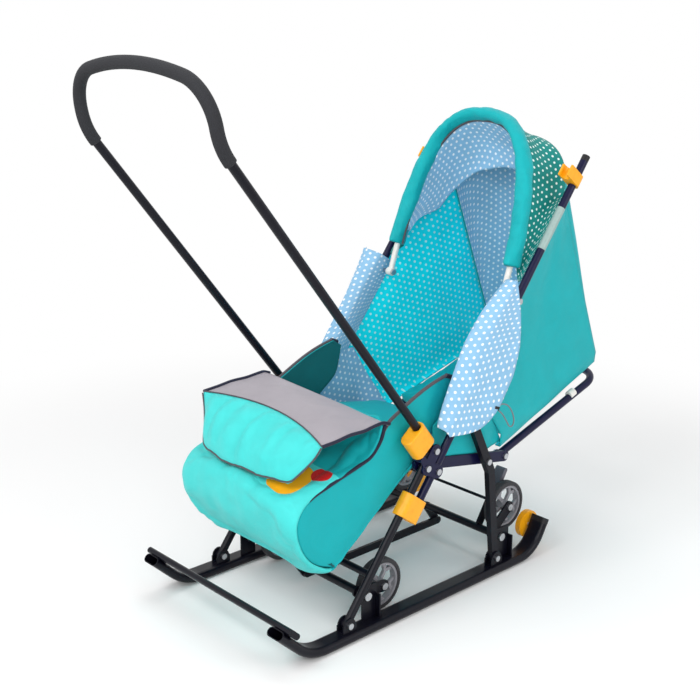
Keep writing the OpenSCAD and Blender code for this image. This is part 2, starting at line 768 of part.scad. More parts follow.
// Wheel axles with their nuts, and the caps on the ends of a lift tube
module lift_bolts(axis, wheel) for (m = [0, 1]) mirror([m, 0, 0]) {
    inner = wheel_x - wheel_w / 2 - wheel_gap;
    bar_x(wheel, inner, arm_x + arm_t / 2, axle_d);
    bar_x(wheel, inner - nut_t, inner, axle_d + head_t);
    bar_x(wheel, arm_x + arm_t / 2, arm_x + arm_t / 2 + head_t, axle_d + head_t);
    bar_x(axis, gusset_x + gusset_t + over, gusset_x + gusset_t + over + cap_t, tube_d);
}

module rear_lift_bolts() color("silver") lift_bolts(rear_axis, rear_wheel);

module front_lift_bolts() color("silver") lift_bolts(front_axis, front_wheel);

module lift_link() color(grey_colour) translate([link_side + link_t / 2, 0, 0]) difference() {
    ends = [polar(front_axis, lever_len, lever_a), polar(rear_axis, lever_len, lever_a)];
    plate_x(link_t) strap(ends[0], ends[1], link_h);
    for (p = ends) bar_x(p, -link_t, link_t, pin_d + 2 * run_fit);
}

module lift_pedal() color(grey_colour) translate([pedal_x, rear_axis_y, lift_z]) rotate([pedal_a, 0, 0])
    translate([0, pedal_len - pedal_pad, 0]) rotate([90, 0, 90]) linear_extrude(pedal_w, center = true)
        translate([0, -pedal_t / 2]) {
            square([pedal_pad - pedal_t / 2, pedal_t]);
            translate([pedal_pad - pedal_t / 2, pedal_t / 2]) circle(d = pedal_t);
        }

// Wheels
module rim_face() {
    difference() {
        circle(d = rim_d);
        circle(d = rim_d - 2 * rim_band);
    }
    for (k = [0 : spokes - 1]) rotate(k * 360 / spokes) {
        split = rim_d / 2 * spoke_split_share;
        strap([0, 0], [split, 0], spoke_w);
        for (s = [-1, 1]) strap([split, 0], (rim_d / 2 - spoke_w / 2 - slip) * [cos(spoke_spread_a),
            s * sin(spoke_spread_a)], spoke_w);
    }
    circle(d = hub_d);
}

module rim(side, p) color(grey_colour) translate([side * wheel_x, p[0], p[1]]) rotate([0, 90, 0])
    difference() {
    union() {
        linear_extrude(wheel_w - rim_band, center = true) ring(rim_d, rim_d - 2 * rim_band);
        linear_extrude(spoke_t, center = true) rim_face();
        cylinder(d = hub_d, h = wheel_w + 2 * wheel_gap - 2 * slip, center = true);
    }
    cylinder(d = axle_d + 2 * run_fit, h = 2 * wheel_w, center = true);
}

module tyre(side, p) color(dark_colour) translate([side * wheel_x, p[0], p[1]]) rotate([0, 90, 0])
    rotate_extrude() {
    inner = rim_d / 2 + run_fit;
    edge = (wheel_d / 2 - inner) / 2;
    translate([inner, -wheel_w / 2]) square([wheel_d / 2 - edge - inner, wheel_w]);
    translate([wheel_d / 2 - edge, -wheel_w / 2 + edge]) square([edge, wheel_w - 2 * edge]);
    for (s = [-1, 1]) translate([wheel_d / 2 - edge, s * (wheel_w / 2 - edge)]) circle(edge);
}

module rim_front_left() rim(1, front_wheel);

module rim_front_right() rim(-1, front_wheel);

module rim_rear_left() rim(1, rear_wheel);

module rim_rear_right() rim(-1, rear_wheel);

module tyre_front_left() tyre(1, front_wheel);

module tyre_front_right() tyre(-1, front_wheel);

module tyre_rear_left() tyre(1, rear_wheel);

module tyre_rear_right() tyre(-1, rear_wheel);

// Rollers on the rear tips
module roller(side) color(orange_colour) translate([side * roller_x, roller_y, roller_z])
    rotate([0, 90, 0]) difference() {
    cylinder(d = roller_d, h = roller_w, center = true);
    cylinder(d = roller_bore_d + 2 * run_fit, h = 2 * roller_w, center = true);
    translate([0, 0, -side * roller_w / 2]) cylinder(d = roller_bore_d + 2 * head_t, h = 2 * head_t,
        center = true);
}

module roller_left() roller(1);

module roller_right() roller(-1);

module roller_axles() color("silver") for (m = [0, 1]) mirror([m, 0, 0]) {
    inner = roller_x - roller_w / 2 + head_t - slip;
    outer = side_x - runner_w / 2;
    bar_x([roller_y, roller_z], inner - nut_t, inner, roller_bore_d + head_t);
    bar_x([roller_y, roller_z], inner, outer, roller_bore_d);
    bar_x([roller_y, roller_z], outer, side_x - tube_wall, roller_bore_d - 2 * tube_wall);
}

// Backrest loop and cushions
module backrest_loop() color(navy_colour) loop_frame() difference() {
    union() {
        splayed_tube(loop_foot, loop_half, loop_len, loop_r, tube_d, tube_d - 2 * tube_wall);
        for (s = [-1, 1]) translate([s * loop_foot, 0, 0]) rotate([0, 90, 0])
            cylinder(d = tube_d, h = tube_d, center = true);
    }
    bar_x([0, 0], -rail_x, rail_x, pin_d + 2 * run_fit);
}

// A cushion with a crowned top, drawn-in sides and a flat underside
cushion_rows = 12;
cushion_cols = 14;
draw_in_share = 0.035;

function crown(u, v) = sqrt(sin(180 * u)) * sqrt(sin(180 * v));

function pull(w) = 1 - draw_in_share * sin(180 * w);

function cushion_top(half, y0, y1, edge, rise) =
    [for (i = [0 : cushion_rows]) [for (j = [0 : cushion_cols])
    let (u = i / cushion_rows, v = j / cushion_cols)
    [half * (2 * v - 1) * pull(u), (y0 + y1) / 2 + (y1 - y0) * (u - 1 / 2) * pull(v),
        edge + rise * crown(u, v)]]];

function flat_base(top) = [for (r = top) [for (p = r) [p[0], p[1], 0]]];

module cushion(half, y0, y1, edge, rise) {
    top = cushion_top(half, y0, y1, edge, rise);
    between([for (r = top) [for (k = [len(r) - 1 : -1 : 0]) r[k]]],
        [for (r = flat_base(top)) [for (k = [len(r) - 1 : -1 : 0]) r[k]]]);
}

module back_cushion() color(dots_colour) loop_frame() translate([0, 0, tube_d / 2 + slip])
    cushion(back_half, back_start, back_end, cushion_t, pad_crown);

module seat_pad() color(dots_colour) seat_slope() translate([0, 0, tube_d / 2 + slip])
    cushion(pad_half, pad_start, pad_end, pad_t, pad_crown);

// Foot muff: side outline as shares of its length and height, from the heel round the toe to the crest,
// and how much of the crown each place takes
muff_shares = [[1, 0.605, 0], [0.66, 0.3, 0], [0.33, 0, 0], [0.22, 0.03, 0], [0.1, 0.13, 0.3],
    [0.03, 0.26, 0.6],
    [0, 0.42, 0.8], [0.04, 0.55, 1], [0.14, 0.62, 1], [0.4, 0.68, 1], [0.62, 0.75, 0.7],
        [0.71, 0.86, 0.3],
    [0.73, 0.985, 0], [0.765, 0.985, 0], [0.86, 0.83, 0], [1, 0.66, 0]];
muff_in_shares = [[1.02, 0.665, 0], [0.66, 0.345, 0], [0.34, 0.045, 0], [0.24, 0.07, 0],
    [0.13, 0.165, 0], [0.065, 0.28, 0.5],
    [0.037, 0.42, 0.7], [0.065, 0.515, 1], [0.15, 0.58, 1], [0.4, 0.64, 1], [0.64, 0.71, 0.7],
        [0.745, 0.83, 0.3],
    [0.77, 0.93, 0], [0.85, 1.1, 0], [1.1, 1, 0], [1.1, 0.75, 0]];
// Sections across the muff: place across, size of the outline there and height of the crown
muff_across_shares = [[-1, 0.93, 0], [-0.975, 0.975, 0], [-0.9, 0.995, 0.2], [-0.7, 1, 0.55],
    [-0.36, 1, 0.9], [0, 1, 1],
    [0.36, 1, 0.9], [0.7, 1, 0.55], [0.9, 0.995, 0.2], [0.975, 0.975, 0], [1, 0.93, 0]];
muff_mid_share = [0.5, 0.5];
muff_crown = 20;
// Side walls of the seat, from the crest of the muff to the posts
wall_top_shares = [[0.74, 0.93], [0.86, 1.01], [1.02, 1.105], [1.27, 1.185], [1.34, 1.13], [1.3, 0.9],
    [1.04, 0.66], [0.8, 0.6]];

// One pass of corner cutting round a closed list of points
function eased(list) = [for (i = [0 : len(list) - 1]) let (p = list[i], q = list[(i + 1) % len(list)])
    each [mix(p, q, 1 / 4), mix(p, q, 3 / 4)]];

function muff_ring(a, list, half) = let (m = muff_pt(muff_mid_share)) [for (p = list)
    let (q = m + (muff_pt(p) - m) * a[1]) [-a[0] * half, q[0] - muff_crown * p[2] * a[2] / 3,
        q[1] + muff_crown * p[2] * a[2]]];

module foot_muff() color(teal_colour) {
    difference() {
        loft([for (a = muff_across_shares) muff_ring(a, eased(muff_shares), muff_half)]);
        loft([for (a = muff_across_shares) muff_ring(a, eased(muff_in_shares), muff_half - muff_wall)]);
    }
    for (s = [-1, 1]) translate([s * (muff_half - muff_wall / 2), 0, 0]) plate_x(muff_wall / 2)
        polygon([for (p = wall_top_shares) muff_pt(p)]);
}

// Visor: the top of the apron folded over the crest, with its end hanging down the front in soft folds
visor_half = 172;
visor_rise = 8;
visor_folds = 9;
visor_fold = 2;
// From the crest to the hem: place along, height, width and depth of the folds
visor_shares = [[0.76, 0.984, 1, 0], [0.73, 1.015, 1, 0], [0.48, 1.01, 1, 0], [0.24, 0.985, 1, 0.1],
    [0.19, 0.94, 0.99, 0.5],
    [0.14, 0.84, 0.97, 1], [0.08, 0.74, 0.9, 1], [0, 0.65, 0.74, 1], [-0.05, 0.55, 0.44, 0.6]];
visor_cols = 24;
visor_seat = slip + cloth_t;

function visor_row(k) = let (p = visor_shares[k], q = muff_pt([p[0], p[1]])) [for (j = [0 : visor_cols])
    let (v = 2 * j / visor_cols - 1, arch = k > 1 ? visor_rise * (1 - v * v) : 0,
        wave = visor_fold * p[3] * (1 + sin(v * visor_folds * 180)),
            out = k > 3 ? muff_crown * (1 - v * v) / 2 : 0)
    [v * visor_half * p[2], q[0] - wave - out, q[1] + visor_seat + arch]];

module muff_visor() color(grey_colour) {
    rows = [for (k = [0 : len(visor_shares) - 1]) visor_row(k)];
    inner = [for (k = [0 : len(visor_shares) - 1]) [for (q = rows[k])
        k < 4 ? q - [0, 0, cloth_t] : q + [0, cloth_t, 0]]];
    between(rows, inner);
}

// Tent of cloth behind the posts: two side panels and a back panel
rear_edge_half = 150;
rear_low = [518, 383];
rear_high = [379, 735];
rear_sag = 8;
panel_low = [182, 286];
panel_low_x = 176;
panel_front_s = 500;
panel_top_s = 905;
hem_front = [163, 182, 268];
hem_rear = [149, 516, 370];
panel_rows = 12;
panel_cols = 10;
panel_knee_share = 0.3;
panel_turn_a = 58;
panel_x = side_x - (tube_d / 2 + slip) * cos(panel_turn_a);
panel_back = post_offset + (tube_d / 2 + slip) * sin(panel_turn_a);

function mix(a, b, t) = a + (b - a) * t;

function at_x(x, p) = [x, p[0], p[1]];

function panel_front(v) = v < panel_knee_share
    ? mix(at_x(panel_low_x, panel_low), at_x(panel_x, leg_pt(panel_front_s, panel_back)),
        v / panel_knee_share)
    : mix(at_x(panel_x, leg_pt(panel_front_s, panel_back)),
        at_x(panel_x, leg_pt(panel_top_s, panel_back)),
        (v - panel_knee_share) / (1 - panel_knee_share));

function panel_rear(v) = mix(at_x(rear_edge_half, rear_low), at_x(rear_edge_half, rear_high), v);

function panel_grid(inset) = concat([[for (j = [0 : panel_cols])
    mix(hem_front, hem_rear, j / panel_cols) - [inset, 0, 0]]],
    [for (i = [0 : panel_rows]) let (v = i / panel_rows) [for (j = [0 : panel_cols])
    let (u = j / panel_cols) mix(panel_front(v), panel_rear(v),
        u) - [rear_sag * sin(180 * u) * sin(180 * v) + inset, 0, 0]]]);

module side_panel_left() color(teal_colour) between(panel_grid(cloth_t), panel_grid(0));

module side_panel_right() color(teal_colour) mirror([1, 0, 0])
    between(panel_grid(cloth_t), panel_grid(0));

// The rear arch of the hood, and the back panel that hangs from it
rear_arch_top = [411, 846];
arch_cols = 20;
arch_power = 0.8;

function arch_x(t) = sign(cos(t)) * pow(abs(cos(t)), arch_power);

function arch_up(t) = pow(sin(t), arch_power);

function rear_arch(t, half) = [half * arch_x(t), mix(rear_high[0], rear_arch_top[0], arch_up(t)),
    mix(rear_high[1], rear_arch_top[1], arch_up(t))];

canopy_half_x = rear_edge_half - cloth_t - slip;
back_half_x = canopy_half_x - cloth_t - slip;
back_bow = 14;
back_rows = 8;

function back_grid(inset) = [for (i = [0 : back_rows])
    let (v = i / back_rows) [for (j = [0 : arch_cols])
    let (t = 180 * j / arch_cols, top = rear_arch(t, back_half_x),
        foot = [back_half_x * arch_x(t), rear_low[0], rear_low[1]])
    mix(foot, top, v) + [0, back_bow * sin(180 * v) * sin(t) - inset,
        -v * (cloth_t + 3 * slip) * sin(t)]]];

module back_panel() color(teal_colour) between(back_grid(cloth_t), back_grid(0));

// Hood: a padded rim on a hinged bow, and the canopy between the rim and the rear arch
rim_base = 62;
rim_sides = 14;
rim_steps = 26;
bow_d = 12;
// The feet of the arch stand just inside the posts, and its sides come to their full width above the
// hinge
bow_gap = 14;
bow_foot = side_x - tube_d / 2 - bow_gap;
bow_low_share = 0.25;
bow_high_share = 0.75;

function bow_half(t) = mix(bow_foot, hood_half,
    max(0, min(1, (arch_up(t) - bow_low_share) / (bow_high_share - bow_low_share))));

function rim_point(t) = [(bow_half(t) - rim_t / 2) * arch_x(t),
    rim_base + (hood_h - rim_base) * arch_up(t), 0];

function rim_dir(t) = let (d = rim_point(min(t + 1, 179.99)) - rim_point(max(t - 1, 0.01))) d / norm(d);

function rim_ring(t) = let (c = rim_point(t), d = rim_dir(t), n = [-d[1], d[0], 0])
    [for (k = [0 : rim_sides - 1]) let (a = 360 * k / rim_sides)
        c + n * rim_t / 2 * cos(a) + [0, 0, rim_w / 2 * sin(a)]];

module hood_rim() color(teal_colour) hood_frame()
    loft([for (i = [0 : rim_steps]) rim_ring(180 * i / rim_steps)]);

module hood_bow_ends() color("white") hood_frame() for (m = [0, 1]) mirror([m, 0, 0]) difference() {
    translate([bow_foot - rim_t / 2, 0, 0]) {
        along_y(rim_base - slip) circle(d = bow_d);
        rotate([0, 90, 0]) cylinder(d = bow_d + head_t, h = bow_d + 2 * over, center = true);
    }
    bar_x([0, 0], bow_foot - rim_t - bow_d, bow_foot + bow_d, pin_d + 2 * run_fit);
}

canopy_rows = 6;
canopy_fold = 6;

function in_world(p) = [p[0], hood_pt[0] + p[1] * cos(hood_a) - p[2] * sin(hood_a),
    hood_pt[1] + p[1] * sin(hood_a) + p[2] * cos(hood_a)];

function canopy_front(t) = in_world(rim_point(t) - [0, 0, rim_w / 2 + slip]);

function canopy_grid(inset) = [for (i = [0 : canopy_rows])
    let (v = i / canopy_rows) [for (j = [0 : arch_cols])
    let (t = 180 * j / arch_cols, k = 1 - inset / hood_half,
        q = mix(canopy_front(t), rear_arch(t, canopy_half_x), v) - [0, 0,
            canopy_fold * sin(180 * v) * sin(t)])
    [q[0] * k, q[1], q[2] - inset * sin(t)]]];

module hood_canopy() color([0.05, 0.45, 0.42]) between(canopy_grid(0), canopy_grid(cloth_t));

// Lining wings that leave the posts on the inside and fold outwards round the handle side:
// fold line and hem as places along the sled and heights, from the top down
flap_out_x = 212;
flap_in_x = 173;
flap_rows = 10;
flap_cols = 14;
flap_wave = 2;
flap_turn = 0.3;
flap_root_top_s = 745;
flap_root_low_s = 486;
flap_edge = [[172, 606], [189, 526], [182, 446], [138, 386], [70, 336], [0, 344]];
flap_fold = [[168, 606], [100, 545], [54, 472], [18, 400], [-8, 360], [-14, 352]];

function along_list(list, v) = let (n = len(list) - 1, k = min(floor(v * n), n - 1))
    mix(list[k], list[k + 1], v * n - k);

function flap_root(v) = leg_pt(mix(flap_root_top_s, flap_root_low_s, v), 2 * post_offset - panel_back);

function turn(u) = sin(90 * max(-1, min(1, u / flap_turn)));

function flap_point(u, v, inset) = let (fold = along_list(flap_fold, v),
    p = u < 0 ? mix(fold, flap_root(v), -u) : mix(fold, along_list(flap_edge, v), u),
        lift = u < -1 / 2 ? (panel_x - cloth_t - flap_in_x) * (-2 * u - 1) : 0,
            wave = u > 0 ? flap_wave * sin(360 * u + 180 * v) * u : 0)
    [(flap_in_x + flap_out_x) / 2 + (flap_out_x - flap_in_x) / 2 * turn(u) + lift + wave
        - inset * turn(u),
        p[0] + inset * (1 - abs(turn(u))), p[1]];

function flap_grid(inset) = [for (i = [0 : flap_rows]) [for (j = [0 : flap_cols])
    flap_point(2 * j / flap_cols - 1, i / flap_rows, inset)]];

module flap_left() color(dots_colour) between(flap_grid(0), flap_grid(cloth_t));

module flap_right() color(dots_colour) mirror([1, 0, 0]) between(flap_grid(0), flap_grid(cloth_t));

runner_left();
runner_right();
front_crossbar();
runner_end_caps();
leg_brackets();
lift_gussets();
front_leg_left();
front_leg_right();
rear_leg_left();
rear_leg_right();
post_left();
post_right();
pivot_bracket_left();
pivot_bracket_right();
rear_joint_plates();
frame_bolts();
front_cross_tube();
rear_cross_rod();
seat_frame();
handle_clip_left();
handle_clip_right();
post_plugs();
leg_collar_left();
leg_collar_right();
handle_tube();
handle_grip();
handle_sleeve_left();
handle_sleeve_right();
rear_lift();
front_lift();
rear_lift_bolts();
front_lift_bolts();
lift_link();
lift_pedal();
rim_front_left();
rim_front_right();
rim_rear_left();
rim_rear_right();
tyre_front_left();
tyre_front_right();
tyre_rear_left();
tyre_rear_right();
roller_left();
roller_right();
roller_axles();
backrest_loop();
back_cushion();
seat_pad();
foot_muff();
muff_visor();
side_panel_left();
side_panel_right();
back_panel();
hood_canopy();
hood_rim();
hood_bow_ends();
flap_left();
flap_right();
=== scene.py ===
import math

import bpy
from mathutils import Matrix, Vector, noise


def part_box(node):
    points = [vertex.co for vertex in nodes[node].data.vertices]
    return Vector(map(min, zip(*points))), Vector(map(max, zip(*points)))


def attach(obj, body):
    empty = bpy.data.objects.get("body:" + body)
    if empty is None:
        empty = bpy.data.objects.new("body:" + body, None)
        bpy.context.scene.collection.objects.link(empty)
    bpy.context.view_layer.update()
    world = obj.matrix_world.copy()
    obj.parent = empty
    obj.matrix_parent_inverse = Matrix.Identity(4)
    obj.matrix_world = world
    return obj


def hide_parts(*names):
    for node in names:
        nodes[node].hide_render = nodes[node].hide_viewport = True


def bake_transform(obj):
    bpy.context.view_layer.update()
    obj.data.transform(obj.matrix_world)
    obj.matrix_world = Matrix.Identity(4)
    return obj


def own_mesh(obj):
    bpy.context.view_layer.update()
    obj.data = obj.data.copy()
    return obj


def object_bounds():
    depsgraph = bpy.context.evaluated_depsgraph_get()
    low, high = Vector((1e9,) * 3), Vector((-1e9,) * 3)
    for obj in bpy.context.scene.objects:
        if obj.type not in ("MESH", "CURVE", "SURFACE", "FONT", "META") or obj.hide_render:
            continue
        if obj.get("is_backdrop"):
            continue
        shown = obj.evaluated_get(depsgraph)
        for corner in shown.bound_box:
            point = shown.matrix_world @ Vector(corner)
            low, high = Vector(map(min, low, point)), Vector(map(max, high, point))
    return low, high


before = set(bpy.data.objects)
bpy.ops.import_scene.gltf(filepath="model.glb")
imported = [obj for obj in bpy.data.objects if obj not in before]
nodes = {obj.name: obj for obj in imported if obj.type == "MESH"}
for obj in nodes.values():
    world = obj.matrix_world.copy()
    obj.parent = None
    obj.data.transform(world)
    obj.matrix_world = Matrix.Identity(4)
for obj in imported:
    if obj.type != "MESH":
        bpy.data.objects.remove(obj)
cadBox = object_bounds()
bpy.context.scene.view_settings.view_transform = "Standard"


# small helpers


def mm(x, y, z):
    return Vector((x, y, z)) / 1000


def tone(red, green, blue):
    # screen colour 0 to 255, as a linear colour
    def linear(c):
        c = c / 255
        return c / 12.92 if c <= 0.04045 else ((c + 0.055) / 1.055) ** 2.4
    return (linear(red), linear(green), linear(blue), 1)


def pick(*objs):
    bpy.ops.object.select_all(action="DESELECT")
    for o in objs:
        o.select_set(True)
    bpy.context.view_layer.objects.active = objs[0]


def mix(a, b, t):
    return a + (b - a) * t


def clamp(x, low=0.0, high=1.0):
    return max(low, min(high, x))


def ease(x):
    x = clamp(x)
    return x * x * (3 - 2 * x)


def along(points, t):
    # smooth curve through a list of points, t from 0 to 1
    n = len(points) - 1
    k = min(int(clamp(t) * n), n - 1)
    f = clamp(t) * n - k
    p0, p1, p2, p3 = points[max(k - 1, 0)], points[k], points[k + 1], points[min(k + 2, n)]
    square, cube = 2 * p0 - 5 * p1 + 4 * p2 - p3, 3 * p1 - p0 - 3 * p2 + p3
    return (2 * p1 + (p2 - p0) * f + square * f ** 2 + cube * f ** 3) / 2


def flatList(pairs):
    return [Vector(p) for p in pairs]


def applyAll(obj):
    pick(obj)
    for m in list(obj.modifiers):
        bpy.ops.object.modifier_apply(modifier=m.name)


def layCloth(name, cols, rows, place, flat=None):
    # a grid whose points go where place(u, v) says, with a UV map in metres of cloth
    bpy.ops.object.select_all(action="DESELECT")
    bpy.ops.mesh.primitive_grid_add(x_subdivisions=cols, y_subdivisions=rows, size=2, location=(0, 0, 0))
    obj = bpy.context.active_object
    obj.name = obj.data.name = name
    for v in obj.data.vertices:
        v.co = place((v.co.x + 1) / 2, (v.co.y + 1) / 2)
    spot = [v.co.copy() for v in obj.data.vertices]
    run = cols + 1
    across, up = [0.0] * len(spot), [0.0] * len(spot)
    for j in range(rows + 1):
        middle = j * run + cols // 2
        for i in range(cols // 2 + 1, run):
            across[j * run + i] = across[j * run + i - 1] + (spot[j * run + i] - spot[j * run + i - 1]).length
        for i in range(cols // 2 - 1, -1, -1):
            across[j * run + i] = across[j * run + i + 1] - (spot[j * run + i] - spot[j * run + i + 1]).length
        height = 0.0 if j == 0 else up[middle - run] + (spot[middle] - spot[middle - run]).length
        for i in range(run):
            up[j * run + i] = height
    for loop in obj.data.loops:
        k = loop.vertex_index
        obj.data.uv_layers.active.data[loop.index].uv = flat(spot[k]) if flat else (across[k], up[k])
    return obj


def thicken(obj, thickness, offset=-1, even=True, lined=True):
    # a lined cloth takes its second material inside and its third on the rim
    m = obj.modifiers.new("thickness", "SOLIDIFY")
    m.thickness = thickness
    m.offset = offset
    m.use_even_offset = even
    if lined:
        m.material_offset = 1
        m.material_offset_rim = 2
    applyAll(obj)


def soften(obj, levels=1):
    m = obj.modifiers.new("soften", "SUBSURF")
    m.levels = m.render_levels = levels
    applyAll(obj)


def smooth(obj):
    pick(obj)
    bpy.ops.object.shade_smooth()


def unwrap(obj):
    # UV map from six sides, in metres
    pick(obj)
    bpy.ops.object.mode_set(mode="EDIT")
    bpy.ops.mesh.select_all(action="SELECT")
    bpy.ops.uv.cube_project(cube_size=1.0, scale_to_bounds=False)
    bpy.ops.object.mode_set(mode="OBJECT")


def turnOver(obj):
    # swaps the two faces of a cloth
    pick(obj)
    bpy.ops.object.mode_set(mode="EDIT")
    bpy.ops.mesh.select_all(action="SELECT")
    bpy.ops.mesh.flip_normals()
    bpy.ops.object.mode_set(mode="OBJECT")


def sideways(p):
    # UV of a cloth that hangs on one side of the seat
    return p.y, p.z


def paintWith(obj, *materials):
    obj.data.materials.clear()
    for m in materials:
        obj.data.materials.append(m)


def pipe(name, points, radius, material, sides=3):
    # a round edging along a line of points
    bpy.ops.object.select_all(action="DESELECT")
    bpy.ops.curve.primitive_nurbs_path_add(location=(0, 0, 0))
    obj = bpy.context.active_object
    obj.name = name
    curve = obj.data
    curve.splines.clear()
    line = curve.splines.new("NURBS")
    line.points.add(len(points) - 1)
    for p, q in zip(line.points, points):
        p.co = (*q, 1)
    line.use_endpoint_u = True
    line.order_u = 3
    curve.resolution_u = 2
    curve.bevel_depth = radius
    curve.bevel_resolution = sides
    curve.use_fill_caps = True
    pick(obj)
    bpy.ops.object.convert(target="MESH")
    obj = bpy.context.active_object
    obj.name = obj.data.name = name
    paintWith(obj, material)
    smooth(obj)
    return obj


clothRun = {"frames": 20, "quality": 5, "mass": 0.3, "stretch": 15, "shear": 5, "bend": 0.4}


def swell(obj, cap, pressure, pins=None, grow=0.0):
    # cloth blown up from inside; no point moves further than cap
    start = [v.co.copy() for v in obj.data.vertices]
    cloth = obj.modifiers.new("swell", "CLOTH")
    s = cloth.settings
    s.quality = clothRun["quality"]
    s.mass = clothRun["mass"]
    s.tension_stiffness = s.compression_stiffness = clothRun["stretch"]
    s.shear_stiffness = clothRun["shear"]
    s.bending_stiffness = clothRun["bend"]
    s.use_pressure = True
    s.uniform_pressure_force = pressure
    s.effector_weights.gravity = 0
    s.shrink_min = -grow
    if pins:
        group = obj.vertex_groups.new(name="pinned")
        group.add(pins, 1.0, "REPLACE")
        s.vertex_group_mass = "pinned"
    cloth.point_cache.frame_end = clothRun["frames"]
    for f in range(1, clothRun["frames"] + 1):
        bpy.context.scene.frame_set(f)
    applyAll(obj)
    bpy.context.scene.frame_set(1)
    for v, p in zip(obj.data.vertices, start):
        d = v.co - p
        if d.length > cap:
            v.co = p + d * (cap / d.length)


def copyOf(node, name):
    # a merged copy of a CAD node's mesh
    obj = bpy.data.objects.new(name, nodes[node].data.copy())
    bpy.context.scene.collection.objects.link(obj)
    obj.data.materials.clear()
    pick(obj)
    bpy.ops.object.mode_set(mode="EDIT")
    bpy.ops.mesh.select_all(action="SELECT")
    bpy.ops.mesh.remove_doubles(threshold=0.00002)
    bpy.ops.object.mode_set(mode="OBJECT")
    return obj


def remesh(obj, voxel):
    m = obj.modifiers.new("even", "REMESH")
    m.mode = "VOXEL"
    m.voxel_size = voxel
    m.use_smooth_shade = True
    applyAll(obj)


# shader helpers and shared effects


def put(tree, kind, settings=None, **inputs):
    n = tree.nodes.new(kind)
    for k, v in (settings or {}).items():
        setattr(n, k, v)
    for k, v in inputs.items():
        socket = n.inputs[int(k[1:])] if k[0] == "i" and k[1:].isdigit() else n.inputs[k]
        if isinstance(v, bpy.types.NodeSocket):
            tree.links.new(v, socket)
        else:
            socket.default_value = v
    return n


def calc(tree, operation, a, b=0.0, c=0.0):
    return put(tree, "ShaderNodeMath", {"operation": operation}, i0=a, i1=b, i2=c).outputs[0]


def ramp(tree, value, low, high, start, end, kind="LINEAR"):
    # value from low to high becomes start to end
    n = put(tree, "ShaderNodeMapRange", {"interpolation_type": kind}, i0=value, i1=low, i2=high, i3=start, i4=end)
    return n.outputs[0]


def newGroup(name, inputs, outputs):
    tree = bpy.data.node_groups.new(name, "ShaderNodeTree")
    for label, kind, value in inputs:
        socket = tree.interface.new_socket(label, in_out="INPUT", socket_type="NodeSocket" + kind)
        if value is not None:
            socket.default_value = value
    for label, kind in outputs:
        tree.interface.new_socket(label, in_out="OUTPUT", socket_type="NodeSocket" + kind)
    return tree, tree.nodes.new("NodeGroupInput").outputs, tree.nodes.new("NodeGroupOutput").inputs


def makeDots():
    inputs = [("Vector", "Vector", None), ("Gap", "Float", 0.0145), ("Row", "Float", 0.0122),
              ("Radius", "Float", 0.0028)]
    tree, given, out = newGroup("polkaDots", inputs, [("Mask", "Float")])
    place = put(tree, "ShaderNodeSeparateXYZ", i0=given["Vector"])
    v = calc(tree, "DIVIDE", place.outputs[1], given["Row"])
    row = calc(tree, "FLOOR", v)
    odd = calc(tree, "FLOORED_MODULO", row, 2.0)
    u = calc(tree, "MULTIPLY_ADD", odd, 0.5, calc(tree, "DIVIDE", place.outputs[0], given["Gap"]))
    du = calc(tree, "MULTIPLY", calc(tree, "SUBTRACT", calc(tree, "FRACT", u), 0.5), given["Gap"])
    dv = calc(tree, "MULTIPLY", calc(tree, "SUBTRACT", calc(tree, "FRACT", v), 0.5), given["Row"])
    square = calc(tree, "ADD", calc(tree, "MULTIPLY", du, du), calc(tree, "MULTIPLY", dv, dv))
    share = calc(tree, "DIVIDE", calc(tree, "SQRT", square), given["Radius"])
    tree.links.new(ramp(tree, share, 0.82, 1.12, 1.0, 0.0, "SMOOTHSTEP"), out["Mask"])
    return tree


def makeWeave():
    inputs = [("Vector", "Vector", None), ("Threads", "Float", 1100.0), ("Creases", "Float", 18.0)]
    tree, given, out = newGroup("weave", inputs, [("Height", "Float"), ("Shade", "Float")])
    spot = given["Vector"]
    warp, weft = [put(tree, "ShaderNodeTexWave", {"wave_type": "BANDS", "bands_direction": way}, Vector=spot,
                      Scale=given["Threads"], Distortion=0.4).outputs["Fac"] for way in "XY"]
    wide = put(tree, "ShaderNodeTexNoise", {}, Vector=spot, Scale=given["Creases"], Detail=5.0,
               Roughness=0.62, Distortion=0.6).outputs["Fac"]
    height = calc(tree, "MULTIPLY_ADD", calc(tree, "MULTIPLY", warp, weft), 0.06, wide)
    tree.links.new(height, out["Height"])
    # the crease noise also tints the colour, darker where the bump is low: random mottling, and painted shade in the
    # creases
    tree.links.new(ramp(tree, wide, 0.3, 0.7, 0.93, 1.05), out["Shade"])
    return tree


def makeScuffs():
    inputs = [("Vector", "Vector", None), ("Size", "Float", 60.0), ("Amount", "Float", 0.5)]
    tree, given, out = newGroup("scuffs", inputs, [("Mask", "Float"), ("Grain", "Float")])
    spot = given["Vector"]
    patch = put(tree, "ShaderNodeTexNoise", {}, Vector=spot, Scale=given["Size"], Detail=6.0, Roughness=0.7)
    fine = put(tree, "ShaderNodeTexNoise", {}, Vector=spot, Scale=1400.0, Detail=2.0)
    mask = calc(tree, "MULTIPLY", ramp(tree, patch.outputs["Fac"], 0.5, 0.75, 0.0, 1.0), given["Amount"])
    tree.links.new(mask, out["Mask"])
    tree.links.new(fine.outputs["Fac"], out["Grain"])
    return tree


dotsGroup, weaveGroup, scuffsGroup = makeDots(), makeWeave(), makeScuffs()


def startMaterial(name):
    m = bpy.data.materials.new(name)
    m.use_nodes = True
    return m, m.node_tree, m.node_tree.nodes["Principled BSDF"]


def useGroup(tree, group, **inputs):
    n = put(tree, "ShaderNodeGroup", {"node_tree": group}, **inputs)
    return n.outputs


